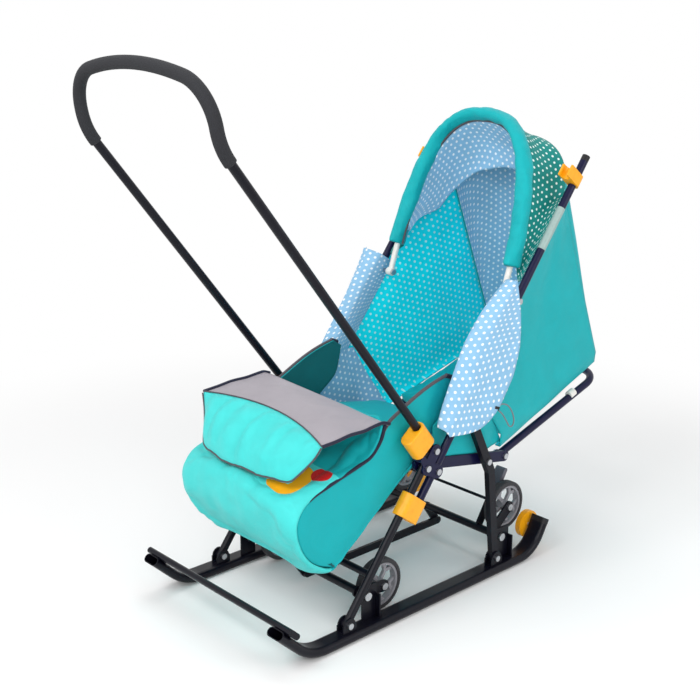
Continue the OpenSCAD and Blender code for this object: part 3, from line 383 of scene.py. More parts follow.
def blendColour(tree, mask, a, b, kind="MIX"):
    n = tree.nodes.new("ShaderNodeMix")
    n.data_type = "RGBA"
    n.blend_type = kind
    for socket, v in ((n.inputs[0], mask), (n.inputs[6], a), (n.inputs[7], b)):
        if isinstance(v, bpy.types.NodeSocket):
            tree.links.new(v, socket)
        else:
            socket.default_value = v
    return n.outputs[2]


def clothMaterial(name, colour, dots=None, rough=0.62, sheen=0.05, creases=18.0, depth=0.0012,
                  dotRadius=0.0028, turn=0.0, threads=1100.0, patches=()):
    m, tree, shader = startMaterial(name)
    uv = put(tree, "ShaderNodeTexCoord").outputs["UV"]
    turned = put(tree, "ShaderNodeMapping", {}, Vector=uv, Rotation=(0, 0, math.radians(turn))).outputs[0]
    weave = useGroup(tree, weaveGroup, Vector=turned, Threads=threads, Creases=creases)
    base = colour
    if dots:
        spots = useGroup(tree, dotsGroup, Vector=turned, Radius=dotRadius)
        base = blendColour(tree, spots["Mask"], colour, dots)
    for place, radius, paint in patches:
        away = put(tree, "ShaderNodeVectorMath", {"operation": "DISTANCE"}, i0=uv, i1=(*place, 0))
        inside = ramp(tree, away.outputs["Value"], radius - 0.0006, radius, 1.0, 0.0)
        base = blendColour(tree, inside, base, paint)
    # the weave's Shade darkens the colour in the crease hollows, partly random mottling and partly painted shade
    shade = weave["Shade"]
    tint = put(tree, "ShaderNodeCombineColor", {}, i0=shade, i1=shade, i2=shade).outputs[0]
    tree.links.new(blendColour(tree, 1.0, base, tint, "MULTIPLY"), shader.inputs["Base Color"])
    bump = put(tree, "ShaderNodeBump", {}, Strength=0.55, Distance=depth, Height=weave["Height"])
    tree.links.new(bump.outputs[0], shader.inputs["Normal"])
    shader.inputs["Roughness"].default_value = rough
    shader.inputs["Specular IOR Level"].default_value = 0.25
    shader.inputs["Sheen Weight"].default_value = sheen
    shader.inputs["Sheen Roughness"].default_value = 0.45
    return m


def hardMaterial(name, colour, worn, rough=0.35, metallic=0.0, coat=0.0, size=60.0, amount=0.5,
                 bump=0.00008, roughWorn=0.2, shine=0.5):
    m, tree, shader = startMaterial(name)
    spot = put(tree, "ShaderNodeTexCoord").outputs["Object"]
    scuff = useGroup(tree, scuffsGroup, Vector=spot, Size=size, Amount=amount)
    tree.links.new(blendColour(tree, scuff["Mask"], colour, worn), shader.inputs["Base Color"])
    tree.links.new(calc(tree, "MULTIPLY_ADD", scuff["Mask"], roughWorn, rough), shader.inputs["Roughness"])
    relief = put(tree, "ShaderNodeBump", {}, Strength=0.5, Distance=bump, Height=scuff["Grain"])
    tree.links.new(relief.outputs[0], shader.inputs["Normal"])
    shader.inputs["Metallic"].default_value = metallic
    shader.inputs["Specular IOR Level"].default_value = shine
    shader.inputs["Coat Weight"].default_value = coat
    shader.inputs["Coat Roughness"].default_value = 0.12
    return m


blackPaint = hardMaterial("blackPaint", tone(12, 12, 22), tone(26, 26, 38),
                          rough=0.3, coat=0.05, size=40, amount=0.4, shine=0.18)
navyPaint = hardMaterial("navyPaint", tone(14, 14, 52), tone(26, 28, 70),
                         rough=0.3, coat=0.06, size=40, amount=0.4, shine=0.2)
zincSteel = hardMaterial("zincSteel", tone(190, 192, 196), tone(140, 142, 146),
                         rough=0.32, metallic=1.0, size=120, amount=0.6)
orangePlastic = hardMaterial("orangePlastic", tone(248, 170, 12), tone(226, 146, 6),
                             rough=0.38, size=80, amount=0.7, bump=0.0001)
blackPlastic = hardMaterial("blackPlastic", tone(22, 22, 26), tone(44, 44, 48),
                            rough=0.5, size=90, amount=0.5, shine=0.3)
greyPlastic = hardMaterial("greyPlastic", tone(138, 138, 144), tone(112, 112, 118),
                           rough=0.45, size=110, amount=0.6)
greyPaint = hardMaterial("greyPaint", tone(92, 92, 102), tone(62, 62, 72),
                         rough=0.35, metallic=0.3, size=70, amount=0.6)
tyreRubber = hardMaterial("tyreRubber", tone(42, 42, 46), tone(76, 74, 74),
                          rough=0.7, size=140, amount=0.6, bump=0.0003)
gripFoam = hardMaterial("gripFoam", tone(26, 27, 32), tone(48, 50, 56),
                        rough=0.8, size=420, amount=0.8, bump=0.0006)
whitePlastic = hardMaterial("whitePlastic", tone(232, 230, 224), tone(205, 202, 196),
                            rough=0.35, size=100, amount=0.5)
clearTape = hardMaterial("clearTape", tone(150, 172, 168), tone(120, 146, 144),
                         rough=0.3, size=160, amount=0.6)

tealCloth = clothMaterial("tealCloth", tone(0, 172, 178), rough=0.55, depth=0.003)
turquoise = tone(70, 214, 211)
turquoiseCloth = clothMaterial("turquoiseCloth", turquoise, rough=0.5, depth=0.004, creases=24)
greyCloth = clothMaterial("greyCloth", tone(160, 154, 161), rough=0.45, creases=14)
blueDots = clothMaterial("blueDots", tone(142, 190, 224), tone(244, 246, 250), turn=20)
# painted light: the light-blue dotted lining painted bright cyan, standing for light shining through the teal outer
# cloth
backlitDots = clothMaterial("backlitDots", tone(0, 240, 255), tone(190, 254, 255), depth=0.0016, turn=20)
greenDots = clothMaterial("greenDots", tone(0, 132, 126), tone(232, 250, 246), depth=0.0016, dotRadius=0.0026)
darkLining = clothMaterial("darkLining", tone(10, 104, 108), rough=0.7, depth=0.0016)
greyBinding = clothMaterial("greyBinding", tone(82, 78, 84), rough=0.7, sheen=0.1, depth=0.0005, creases=60)
zipTape = clothMaterial("zipTape", tone(28, 30, 52), rough=0.6, sheen=0.1, depth=0.0005, creases=60)
greyWebbing = clothMaterial("greyWebbing", tone(122, 122, 126),
                            rough=0.7, sheen=0.2, depth=0.0006, creases=80, threads=500)

finishes = {
    blackPaint: ["runner_left", "runner_right", "front_crossbar", "leg_brackets", "lift_gussets", "front_leg_left",
                 "front_leg_right", "rear_leg_left", "rear_leg_right", "handle_tube", "rear_lift", "front_lift",
                 "front_cross_tube", "rear_cross_rod", "lift_link"],
    navyPaint: ["post_left", "post_right", "pivot_bracket_left", "pivot_bracket_right", "rear_joint_plates",
                "seat_frame", "backrest_loop"],
    zincSteel: ["frame_bolts", "rear_lift_bolts", "front_lift_bolts", "roller_axles"],
    orangePlastic: ["handle_clip_left", "handle_clip_right", "leg_collar_left", "leg_collar_right",
                    "handle_sleeve_left", "handle_sleeve_right", "roller_left", "roller_right"],
    blackPlastic: ["runner_end_caps", "post_plugs"],
    greyPlastic: ["rim_front_left", "rim_front_right", "rim_rear_left", "rim_rear_right"],
    greyPaint: ["lift_pedal"],
    tyreRubber: ["tyre_front_left", "tyre_front_right", "tyre_rear_left", "tyre_rear_right"],
    gripFoam: ["handle_grip"],
    whitePlastic: ["hood_bow_ends"],
}
for material, names in finishes.items():
    for n in names:
        paintWith(nodes[n], material)
print("materials set on", sum(len(n) for n in finishes.values()), "nodes")


# camera, floor and light

shot = {"place": (1.61795, -1.54081, 1.12154), "turn": (73.46, 0, 47.57), "lens": 61.46}
bpy.ops.object.select_all(action="DESELECT")
bpy.ops.object.camera_add(location=shot["place"], rotation=[math.radians(a) for a in shot["turn"]])
camera = bpy.context.active_object
camera.data.lens = shot["lens"]
camera.data.sensor_width = 36
camera.data.clip_end = 100
bpy.context.scene.camera = camera

studio = {"floor": 14, "drop": 0.0004, "pale": 0.93, "near": 0.8, "far": 1.7, "sky": 0.58, "aim": (0, 0, 0.45)}
bpy.ops.mesh.primitive_plane_add(size=studio["floor"], location=(0, 0, -studio["drop"]))
floor = bpy.context.active_object
floor.name = "floor"
floor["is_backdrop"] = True
floorMaterial, tree, shader = startMaterial("paleFloor")
shader.inputs["Base Color"].default_value = (studio["pale"], studio["pale"], studio["pale"], 1)
shader.inputs["Roughness"].default_value = 0.9
spot = put(tree, "ShaderNodeTexCoord").outputs["Object"]
away = put(tree, "ShaderNodeVectorMath", {"operation": "LENGTH"}, i0=spot).outputs["Value"]
fade = ramp(tree, away, studio["near"], studio["far"], 0.0, 1.0, "SMOOTHSTEP")
light = put(tree, "ShaderNodeLightPath").outputs
seen = calc(tree, "MAXIMUM", light["Is Camera Ray"], light["Is Glossy Ray"])
white = put(tree, "ShaderNodeEmission", {}, Color=(1, 1, 1, 1), Strength=1.0)
both = put(tree, "ShaderNodeMixShader", {}, i0=calc(tree, "MULTIPLY", fade, seen),
           i1=shader.outputs[0], i2=white.outputs[0])
tree.links.new(both.outputs[0], tree.nodes["Material Output"].inputs["Surface"])
paintWith(floor, floorMaterial)

world = bpy.data.worlds.new("studio")
bpy.context.scene.world = world
world.use_nodes = True
tree = world.node_tree
light = put(tree, "ShaderNodeLightPath").outputs
seen = calc(tree, "MAXIMUM", light["Is Camera Ray"], light["Is Glossy Ray"])
seen = calc(tree, "MAXIMUM", seen, light["Is Transmission Ray"])
back = tree.nodes["Background"]
back.inputs["Color"].default_value = (1, 1, 1, 1)
tree.links.new(calc(tree, "MULTIPLY_ADD", seen, 1 - studio["sky"], studio["sky"]), back.inputs["Strength"])

# place, size and power of each lamp
lamps = {"key": ((0.0, -2.1, 2.4), 1.3, 36), "front": ((1.9, -1.7, 1.3), 1.3, 20),
         "side": ((2.5, 0.7, 1.5), 1.5, 16), "top": ((-0.6, 0.8, 2.9), 2.0, 18)}
for name, (place, size, power) in lamps.items():
    bpy.ops.object.select_all(action="DESELECT")
    bpy.ops.object.light_add(type="AREA", location=place)
    lamp = bpy.context.active_object
    lamp.name = name
    lamp.data.size = size
    lamp.data.energy = power
    lamp.rotation_euler = (Vector(studio["aim"]) - Vector(place)).to_track_quat("-Z", "Y").to_euler()
print("studio ready")


# places on the frame that the cloth is cut to, in millimetres

legLine = {"x": 190, "foot": (-244.0, 32.0), "angle": math.radians(52.708), "post": 31.0, "tube": 8.3}


def legPoint(s, behind=0.0):
    c, n = math.cos(legLine["angle"]), math.sin(legLine["angle"])
    return Vector((legLine["foot"][0] + s * c + behind * n, legLine["foot"][1] + s * n - behind * c))


def wrinkle(p, size, depth, seed=0.0):
    # soft random fold, p in metres
    return depth * noise.noise(Vector((p[0] / size + seed, p[1] / size - seed, p[2] / size)))


# seat and back cushions

cushions = {"voxel": 0.005, "cap": 0.008, "pressure": 4.0, "wide": 0.985, "narrow": 0.925}
for node, body, narrow in (("seat_pad", "sled", cushions["wide"]), ("back_cushion", "backrest", cushions["narrow"])):
    pad = copyOf(node, "cushion_" + node)
    low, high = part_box(node)
    for v in pad.data.vertices:
        v.co.x *= mix(cushions["wide"], narrow, clamp((v.co.y - low.y) / (high.y - low.y)))
    remesh(pad, cushions["voxel"])
    swell(pad, cushions["cap"], cushions["pressure"])
    unwrap(pad)
    paintWith(pad, tealCloth)
    smooth(pad)
    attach(pad, body)
    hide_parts(node)
print("cushions")


# handle sleeves and leg collars, moulded with round edges

blocks = {"voxel": 0.0013, "factor": 0.5, "passes": 9}
for node, body in (("handle_sleeve_left", "sleeve_left"), ("handle_sleeve_right", "sleeve_right"),
                   ("leg_collar_left", "collar_left"), ("leg_collar_right", "collar_right")):
    block = copyOf(node, "block_" + node)
    remesh(block, blocks["voxel"])
    m = block.modifiers.new("round", "SMOOTH")
    m.factor = blocks["factor"]
    m.iterations = blocks["passes"]
    applyAll(block)
    paintWith(block, orangePlastic)
    smooth(block)
    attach(block, body)
    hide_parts(node)
print("blocks")


# tent of cloth behind the posts

tent = {"half": 150, "low": (518, 383), "high": (379, 735), "sag": 8, "foot": (176, 182, 286), "knee": 0.3,
        "front": 500, "top": 905, "turn": 58, "hem": 0.07, "hemFront": (173, 182, 260), "hemRear": (148.5, 516, 362),
        "tuckFront": (157.5, 188, 257.5), "tuckRear": (146, 506, 356), "wave": 1.6, "waves": 2.6, "crease": 3.0,
        "thick": 0.002, "seamX": 147.6, "seam": 0.0017}
panelX = legLine["x"] - legLine["tube"] * math.cos(math.radians(tent["turn"]))
panelBack = legLine["post"] + legLine["tube"] * math.sin(math.radians(tent["turn"]))


def onPost(s):
    p = legPoint(s, panelBack)
    return Vector((panelX, p[0], p[1]))


def panelFront(v):
    k = tent["knee"]
    if v < k:
        return mix(Vector(tent["foot"]), onPost(tent["front"]), v / k)
    return mix(onPost(tent["front"]), onPost(tent["top"]), (v - k) / (1 - k))


def panelRear(v):
    return mix(Vector((tent["half"], *tent["low"])), Vector((tent["half"], *tent["high"])), v)


def panelPoint(side):
    def place(u, v):
        if v < tent["hem"]:
            lower = mix(Vector(tent["hemFront"]), Vector(tent["hemRear"]), u)
            tucked = mix(Vector(tent["tuckFront"]), Vector(tent["tuckRear"]), u)
            k = v / tent["hem"]
            edge = mix(panelFront(0), panelRear(0), u)
            p = mix(tucked, lower, 2 * k) if k < 0.5 else mix(lower, edge, 2 * k - 1)
            w = 0.0
        else:
            w = (v - tent["hem"]) / (1 - tent["hem"])
            p = mix(panelFront(w), panelRear(w), u)
        calm = math.sin(math.pi * u) ** 0.7 * math.sin(math.pi * clamp(v, 0.02, 0.98)) ** 0.5
        p.x -= tent["sag"] * math.sin(math.pi * u) * math.sin(math.pi * w)
        ripple = tent["wave"] * math.sin(2 * math.pi * (tent["waves"] * u + 0.5 * w))
        p.x += calm * (ripple + wrinkle(p / 1000, 0.12, tent["crease"], side))
        p.x *= side
        return p / 1000
    return place


panels = []
for side, name in ((1, "left"), (-1, "right")):
    panel = layCloth("sidePanel_" + name, 44, 57, panelPoint(side), flat=sideways)
    # the inside faces take the bright cyan lining, painted light shining through the teal outer cloth
    paintWith(panel, backlitDots, tealCloth, tealCloth)
    if side > 0:
        turnOver(panel)
    thicken(panel, tent["thick"])
    smooth(panel)
    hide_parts("side_panel_" + name)
    panels.append(panel)

arch = {"top": (411, 846), "power": 0.8, "half": 147.4, "bow": 14, "gap": 0.4}


def archX(t):
    return math.copysign(abs(math.cos(t)) ** arch["power"], math.cos(t))


def archUp(t):
    return max(math.sin(t), 0.0) ** arch["power"]


def rearArch(t, half):
    k = archUp(t)
    y, z = [mix(tent["high"][i], arch["top"][i], k) for i in (0, 1)]
    return Vector((half * archX(t), y, z))


def backPoint(u, v):
    t = math.pi * u
    top = rearArch(t, arch["half"])
    foot = Vector((arch["half"] * archX(t), *tent["low"]))
    p = mix(foot, top, v)
    calm = math.sin(math.pi * v)
    p.y += arch["bow"] * calm * math.sin(t) + wrinkle(p / 1000, 0.1, tent["crease"]) * calm * math.sin(t)
    p.z -= v * arch["gap"] * math.sin(t)
    return p / 1000


backPanel = layCloth("backPanel", 60, 40, backPoint)
paintWith(backPanel, tealCloth, blueDots, tealCloth)
thicken(backPanel, tent["thick"])
smooth(backPanel)
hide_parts("back_panel")
for side, name in ((1, "left"), (-1, "right")):
    foot, head = [mm(side * tent["seamX"], *tent[end]) for end in ("low", "high")]
    seam = pipe("panelSeam_" + name, [mix(foot, head, k / 24) for k in range(25)], tent["seam"], tealCloth)
    panels.append(seam)
for panel in panels + [backPanel]:
    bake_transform(panel)
print("tent panels")


# hood: padded rim on its bow, canopy and lining

hood = {"hinge": (196.29, 558.97), "angle": math.radians(71), "tall": 352, "half": 168, "base": 62,
        "thick": 26, "wide": 44, "fold": 6}
rimPad = {"voxel": 0.0045, "cap": 0.005, "pressure": 4.0, "gathers": (0.022, 0.0022), "creases": (0.009, 0.0007)}


def rimPoint(t):
    up = hood["base"] + (hood["tall"] - hood["base"]) * archUp(t)
    return Vector(((hood["half"] - hood["thick"] / 2) * archX(t), up, 0))


def hoodToWorld(p):
    c, s = math.cos(hood["angle"]), math.sin(hood["angle"])
    return Vector((p[0], hood["hinge"][0] + p[1] * c - p[2] * s, hood["hinge"][1] + p[1] * s + p[2] * c))


rim = copyOf("hood_rim", "hoodRim")
remesh(rim, rimPad["voxel"])
swell(rim, rimPad["cap"], rimPad["pressure"])
for v in rim.data.vertices:
    n = v.normal.copy()
    v.co += n * (wrinkle(v.co, *rimPad["gathers"]) + wrinkle(v.co, *rimPad["creases"], 3.0))
soften(rim)
unwrap(rim)
paintWith(rim, tealCloth)
smooth(rim)
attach(rim, "hood")
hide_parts("hood_rim")

skirt = {"share": 0.1, "low": 728, "high": 905, "x": 180.5, "corner": 0.3, "half": tent["half"] - 2.3, "clear": 0.3}


def rimBack(t):
    # rear edge of the rim, where the canopy starts
    return hoodToWorld(rimPoint(t) - Vector((0, 0, hood["wide"] / 2 + skirt["clear"])))


def canopyEdges(half):
    # front edge on the rim, rear edge on the post, the top of the side panel and the rear arch
    e, k = skirt["share"], skirt["corner"]
    base = rearArch(0, skirt["half"])
    if half < e:
        w = half / e
        low = legPoint(skirt["low"] - 4, legLine["post"])
        front = mix(Vector((skirt["x"] - 6, low[0], low[1])), rimBack(0), w)
        rear = legPoint(mix(skirt["low"], skirt["high"], w), legLine["post"])
        return front, Vector((skirt["x"], rear[0], rear[1]))
    t = math.pi * (half - e) / (1 - 2 * e)
    front = rimBack(t)
    if t < k:
        p = legPoint(skirt["high"], legLine["post"])
        return front, mix(Vector((skirt["x"], p[0], p[1])), base, t / k)
    return front, rearArch((t - k) / (math.pi / 2 - k) * math.pi / 2, skirt["half"])


def canopyPoint(u, v):
    front, rear = canopyEdges(min(u, 1 - u))
    p = mix(front, rear, v)
    calm = math.sin(math.pi * v) * clamp((rear - front).length / 90)
    lift = math.sin(math.pi * clamp((u - skirt["share"]) / (1 - 2 * skirt["share"])))
    p.z -= hood["fold"] * calm * lift
    ripple = wrinkle(p / 1000, 0.035, 5.0) + 1.6 * math.sin(9 * math.pi * u + 4 * v)
    p.z += calm * ripple * (0.4 + 0.6 * lift)
    p.x += calm * wrinkle(p / 1000, 0.03, 4.0, 7.0)
    if u > 0.5:
        p.x = -p.x
    return p / 1000


canopy = layCloth("hoodCanopy", 96, 26, canopyPoint)
paintWith(canopy, blueDots, greenDots, greenDots)
thicken(canopy, tent["thick"])
smooth(canopy)
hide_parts("hood_canopy")
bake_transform(canopy)

lining = {"in": 15, "behind": 4, "narrow": 31, "deep": 40, "low": 259, "more": 49, "fold": 7, "sag": (0, 8, -22),
          "thick": 0.0014, "edge": 13.6, "piping": 0.0021}


def hoodInner(t, inward, behind):
    # point on the inside of the rim
    step = rimPoint(min(t + 0.01, math.pi)) - rimPoint(max(t - 0.01, 0))
    n = Vector((-step.y, step.x, 0)).normalized()
    return rimPoint(t) + n * inward - Vector((0, 0, behind))


def liningPoint(u, v):
    t = math.pi * mix(0.02, 0.98, u)
    k = archUp(t)
    top = hoodInner(t, lining["in"], lining["behind"])
    up = mix(hood["base"] + 4, lining["low"], k)
    hem = Vector(((hood["half"] - lining["narrow"]) * archX(t), up, -lining["deep"] - lining["more"] * k))
    p = mix(top, hem, v * ease(k / 0.5))
    sag = math.sin(math.pi * v * 0.8)
    p += Vector(lining["sag"]) * sag * k
    p.z += lining["fold"] * v * math.sin(13 * u + 1.2) * k + wrinkle(p / 1000, 0.05, 6.0) * v
    p.y += wrinkle(p / 1000, 0.06, 8.0, 4.0) * v * k
    return hoodToWorld(p) / 1000


drape = layCloth("hoodLining", 84, 20, liningPoint)
paintWith(drape, blueDots)
thicken(drape, lining["thick"], 0, even=False, lined=False)
smooth(drape)
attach(drape, "hood")
line = [hoodToWorld(hoodInner(math.pi * k / 48, lining["edge"], 1)) / 1000 for k in range(49)]
rimEdge = pipe("rimPiping", line, lining["piping"], greyBinding)
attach(rimEdge, "hood")
print("hood")


# lining wings folded outwards round the posts

wing = {"out": 212, "in": 173, "wave": 2.0, "turn": 0.3, "crease": 2.5, "thick": 0.0018,
        "rootTop": 714, "rootLow": 486, "rootX": 180.3, "tuck": 8, "keep": 0.68, "hold": 712,
        "edge": [(172, 606), (184, 530), (180, 455), (140, 378), (80, 334), (-6, 338)],
        "fold": [(168, 606), (104, 560), (50, 500), (18, 440), (-8, 384), (-18, 354)],
        "edgeFar": [(178, 606), (190, 530), (182, 455), (140, 378), (84, 334), (0, 338)],
        "foldFar": [(172, 604), (126, 550), (78, 484), (32, 420), (-2, 376), (-18, 352)]}


def pushUp(piece):
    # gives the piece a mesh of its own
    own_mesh(piece)


def wingPoint(side):
    far = "" if side > 0 else "Far"
    edge, fold = flatList(wing["edge" + far]), flatList(wing["fold" + far])

    def place(u, v):
        w = 2 * u - 1
        turn = math.sin(math.pi / 2 * clamp(w / wing["turn"], -1, 1))
        middle = along(fold, v)
        root = legPoint(mix(wing["rootTop"], wing["rootLow"], v), panelBack + wing["tuck"])
        p = mix(middle, root, -w) if w < 0 else mix(middle, along(edge, v), w)
        lift = (wing["rootX"] - wing["in"]) * ease(-2 * w - 1) if w < -0.5 else 0
        wave = wing["wave"] * math.sin(2 * math.pi * w + math.pi * v) * w if w > 0 else 0
        x = (wing["in"] + wing["out"]) / 2 + (wing["out"] - wing["in"]) / 2 * turn + lift + wave
        q = Vector((x, p[0], p[1]))
        if w > 0:
            q.x += wrinkle(q / 1000, 0.05, wing["crease"], side) * math.sin(math.pi * clamp(v, 0.05, 0.95))
        q.x *= side
        return q / 1000
    return place


for side, name in ((1, "left"), (-1, "right")):
    flap = layCloth("wing_" + name, 40, 44, wingPoint(side))
    paintWith(flap, blueDots, blueDots, blueDots)
    thicken(flap, wing["thick"], 0)
    smooth(flap)
    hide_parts("flap_" + name)
    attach(flap, "sled")
    pushUp(flap)
print("wings")


# sides of the seat, from the posts down to the rails

seatSide = {"x": 173.4, "flare": 6.2, "rearX": 167.5, "tuckX": 158.5, "tuck": 0.1, "sag": 1.2, "thick": 0.0014,
            "hem": [(-12, 290), (60, 276), (130, 264), (192, 269)],
            "top": [(-12, 350), (11, 366), (40, 384), (74, 402), (112, 403)],
            "leg": (60.6, 380.8, 0.916, 0.4)}  # a place on the leg and the way behind it


def seatSidePoint(side):
    hem, top = flatList(seatSide["hem"]), flatList(seatSide["top"])

    def place(u, v):
        tuck = clamp(v / seatSide["tuck"])
        v = clamp((v - seatSide["tuck"]) / (1 - seatSide["tuck"]))
        q = mix(along(hem, u), along(top, u), v)
        y0, z0, ny, nz = seatSide["leg"]
        behind = (q[0] - y0) * ny + (q[1] - z0) * nz
        x = seatSide["x"] + seatSide["flare"] * ease((behind - 16) / 18)
        x = mix(x, seatSide["rearX"], ease((350 - q[1]) / 80) * ease((q[0] - 110) / 60))
        p = Vector((x, q[0], q[1]))
        p.x -= seatSide["sag"] * math.sin(math.pi * u) * math.sin(math.pi * v) * (1 + math.sin(14 * u + 3 * v))
        if tuck < 1:
            p.x = mix(seatSide["tuckX"], p.x, tuck)
        p.x *= side
        return p / 1000
    return place


for side, name in ((1, "left"), (-1, "right")):
    cover = layCloth("seatSide_" + name, 30, 30, seatSidePoint(side), flat=sideways)
    paintWith(cover, blueDots, tealCloth, tealCloth)
    if side > 0:
        turnOver(cover)
    thicken(cover, seatSide["thick"])
    smooth(cover)
    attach(cover, "sled")
print("seat sides")


# foot muff: padded apron, side walls and the folded visor

muff = {"toe": -348, "low": 132, "long": 303, "tall": 258, "half": 167, "crown": 20, "wall": 7,
        "cap": 0.008, "pressure": -3.0, "grow": 0.02, "patch": 0.63, "turquoiseRows": (0.27, 0.7),
        "inset": 4.5, "puff": 3.0, "rolled": 12, "shrink": 0.935, "sideThick": 0.005,
        "outline": [(1, 0.605), (0.83, 0.45), (0.66, 0.3), (0.5, 0.15), (0.36, 0.03), (0.28, 0.0), (0.19, 0.045),
                    (0.1, 0.13), (0.035, 0.26), (0.005, 0.42), (0.045, 0.53), (0.14, 0.605), (0.27, 0.645),
                    (0.4, 0.68), (0.52, 0.715), (0.62, 0.76), (0.7, 0.86), (0.728, 0.94), (0.745, 0.985)],
        "crowns": [0, 0, 0, 0, 0, 0, 0.1, 0.3, 0.6, 0.8, 1, 1, 1, 1, 0.85, 0.7, 0.3, 0.1, 0]}


def muffPoint(p):
    return Vector((muff["toe"] + p[0] * muff["long"], muff["low"] + p[1] * muff["tall"]))


muffLine = [muffPoint(p) for p in muff["outline"]]
muffMiddle = muffPoint((0.5, 0.5))


def apronPoint(u, v):
    a = 2 * u - 1
    q = along(muffLine, v)
    size = 1 - 0.07 * abs(a) ** 18
    k = clamp(v) * (len(muff["crowns"]) - 1)
    i = min(int(k), len(muff["crowns"]) - 2)
    crown = mix(muff["crowns"][i], muff["crowns"][i + 1], k - i) * muff["crown"] * (1 - a * a) ** 0.8
    q = muffMiddle + (q - muffMiddle) * size
    x = a * muff["half"] * (1 - 0.012 * abs(a) ** 6)
    p = Vector((x, q[0] - crown / 3, q[1] + crown))
    away = Vector((0, q[0] - muffMiddle[0], q[1] - muffMiddle[1])).normalized()
    front = ease((v - 0.3) / 0.1) * ease((0.8 - v) / 0.1)
    ripple = 1.6 * math.sin(19 * a + 3 * math.sin(7 * v)) * abs(a) ** 0.5 + wrinkle(p / 1000, 0.05, 5.0, 5.0)
    p += away * front * (1 - abs(a) ** 8) * ripple
    return p / 1000


def apronTop(a, y):
    # height of the apron's upper side at a place across and along
    spots = [apronPoint((a + 1) / 2, mix(0.5, 0.78, k / 60)) * 1000 for k in range(61)]
    return min(spots, key=lambda p: abs(p.y - y)).z + muff["wall"]


def apronLength(v):
    steps = [apronPoint(0.5, v * k / 60) for k in range(61)]
    return sum((b - a).length for a, b in zip(steps, steps[1:]))


apronCols, apronRows = 64, 104
apron = layCloth("muffApron", apronCols, apronRows, apronPoint)
patchRow = apronLength(muff["patch"])
patches = [((0.098, patchRow), 0.042, tone(246, 172, 6)),
           ((0.138, patchRow + 0.04), 0.021, tone(206, 24, 28))]  # place, radius and colour
apronCloth = clothMaterial("apronCloth", turquoise, rough=0.5, depth=0.004, creases=24, patches=patches)
edgePins = [j * (apronCols + 1) + i for j in range(apronRows + 1) for i in range(apronCols + 1)
            if i in (0, apronCols) or j in (0, apronRows)]
swell(apron, muff["cap"], muff["pressure"], pins=edgePins, grow=muff["grow"])
paintWith(apron, apronCloth, darkLining, turquoiseCloth, tealCloth)
# rows above the turquoise band lie under the visor and take the darker teal cloth as painted shade; rows below the
# band, on the muff's underside, take the same teal cloth
for f in apron.data.polygons:
    row = (f.index // apronCols) / apronRows
    f.material_index = 0 if muff["turquoiseRows"][0] < row < muff["turquoiseRows"][1] else 3
thicken(apron, muff["wall"] / 1000, 1, even=False)
soften(apron)
smooth(apron)
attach(apron, "sled")
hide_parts("foot_muff")

wallTop = [(0.3, 0.0), (0.19, 0.045), (0.1, 0.13), (0.035, 0.26), (0.005, 0.42), (0.045, 0.53), (0.14, 0.605),
           (0.27, 0.645), (0.4, 0.68), (0.52, 0.715), (0.62, 0.76), (0.7, 0.86), (0.76, 0.955), (0.86, 1.02),
           (1.02, 1.105), (1.15, 1.155), (1.27, 1.185)]
wallLow = [(0.31, 0.0), (0.36, 0.03), (0.42, 0.085), (0.5, 0.15), (0.58, 0.225), (0.66, 0.3), (0.74, 0.37),
           (0.83, 0.45), (0.91, 0.53), (0.98, 0.6), (1.04, 0.66), (1.1, 0.72), (1.17, 0.79), (1.24, 0.85),
           (1.29, 0.91), (1.32, 1.02), (1.34, 1.13)]


def wallPoint(side):
    n = muff["rolled"]
    top, low = [muffPoint(p) for p in wallTop], [muffPoint(p) for p in wallLow]
    top[:n] = [muffMiddle + (q - muffMiddle) * muff["shrink"] for q in top[:n]]

    def place(u, v):
        q = mix(along(low, v), along(top, v), u)
        puff = math.sin(math.pi * u) ** 0.6 * math.sin(math.pi * clamp(v, 0.0, 1.0)) ** 0.5
        p = Vector((muff["half"] - muff["inset"] + muff["puff"] * puff, q[0], q[1]))
        p.x += puff * wrinkle(p / 1000, 0.06, 4.0, side)
        p.x *= side
        return p / 1000
    return place


for side, name in ((1, "left"), (-1, "right")):
    wall = layCloth("muffWall_" + name, 22, 70, wallPoint(side), flat=sideways)
    paintWith(wall, tealCloth, darkLining, tealCloth)
    if side > 0:
        turnOver(wall)
    thicken(wall, muff["sideThick"])
    smooth(wall)
    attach(wall, "sled")
print("muff")

visor = {"half": 172, "crest": (0.745, 0.995), "back": (0.72, 1.022), "front": (0.213, 0.985), "bulge": 36,
         "tilt": 8, "rise": 8, "hem": -338, "side": 0.72, "over": 9, "thick": 0.0025, "zip": 0.0032}


def visorHem(a, front):
    # lower edge of the flap, lying on the apron
    k = clamp((abs(a) - visor["side"]) / (1 - visor["side"])) ** 1.6
    y = mix(visor["hem"] + 46 * abs(a) ** 3, front[0] - 2, k)
    return Vector((y, mix(apronTop(a, y) + visor["over"] + visor["tilt"] * a, front[1] - 3, k)))


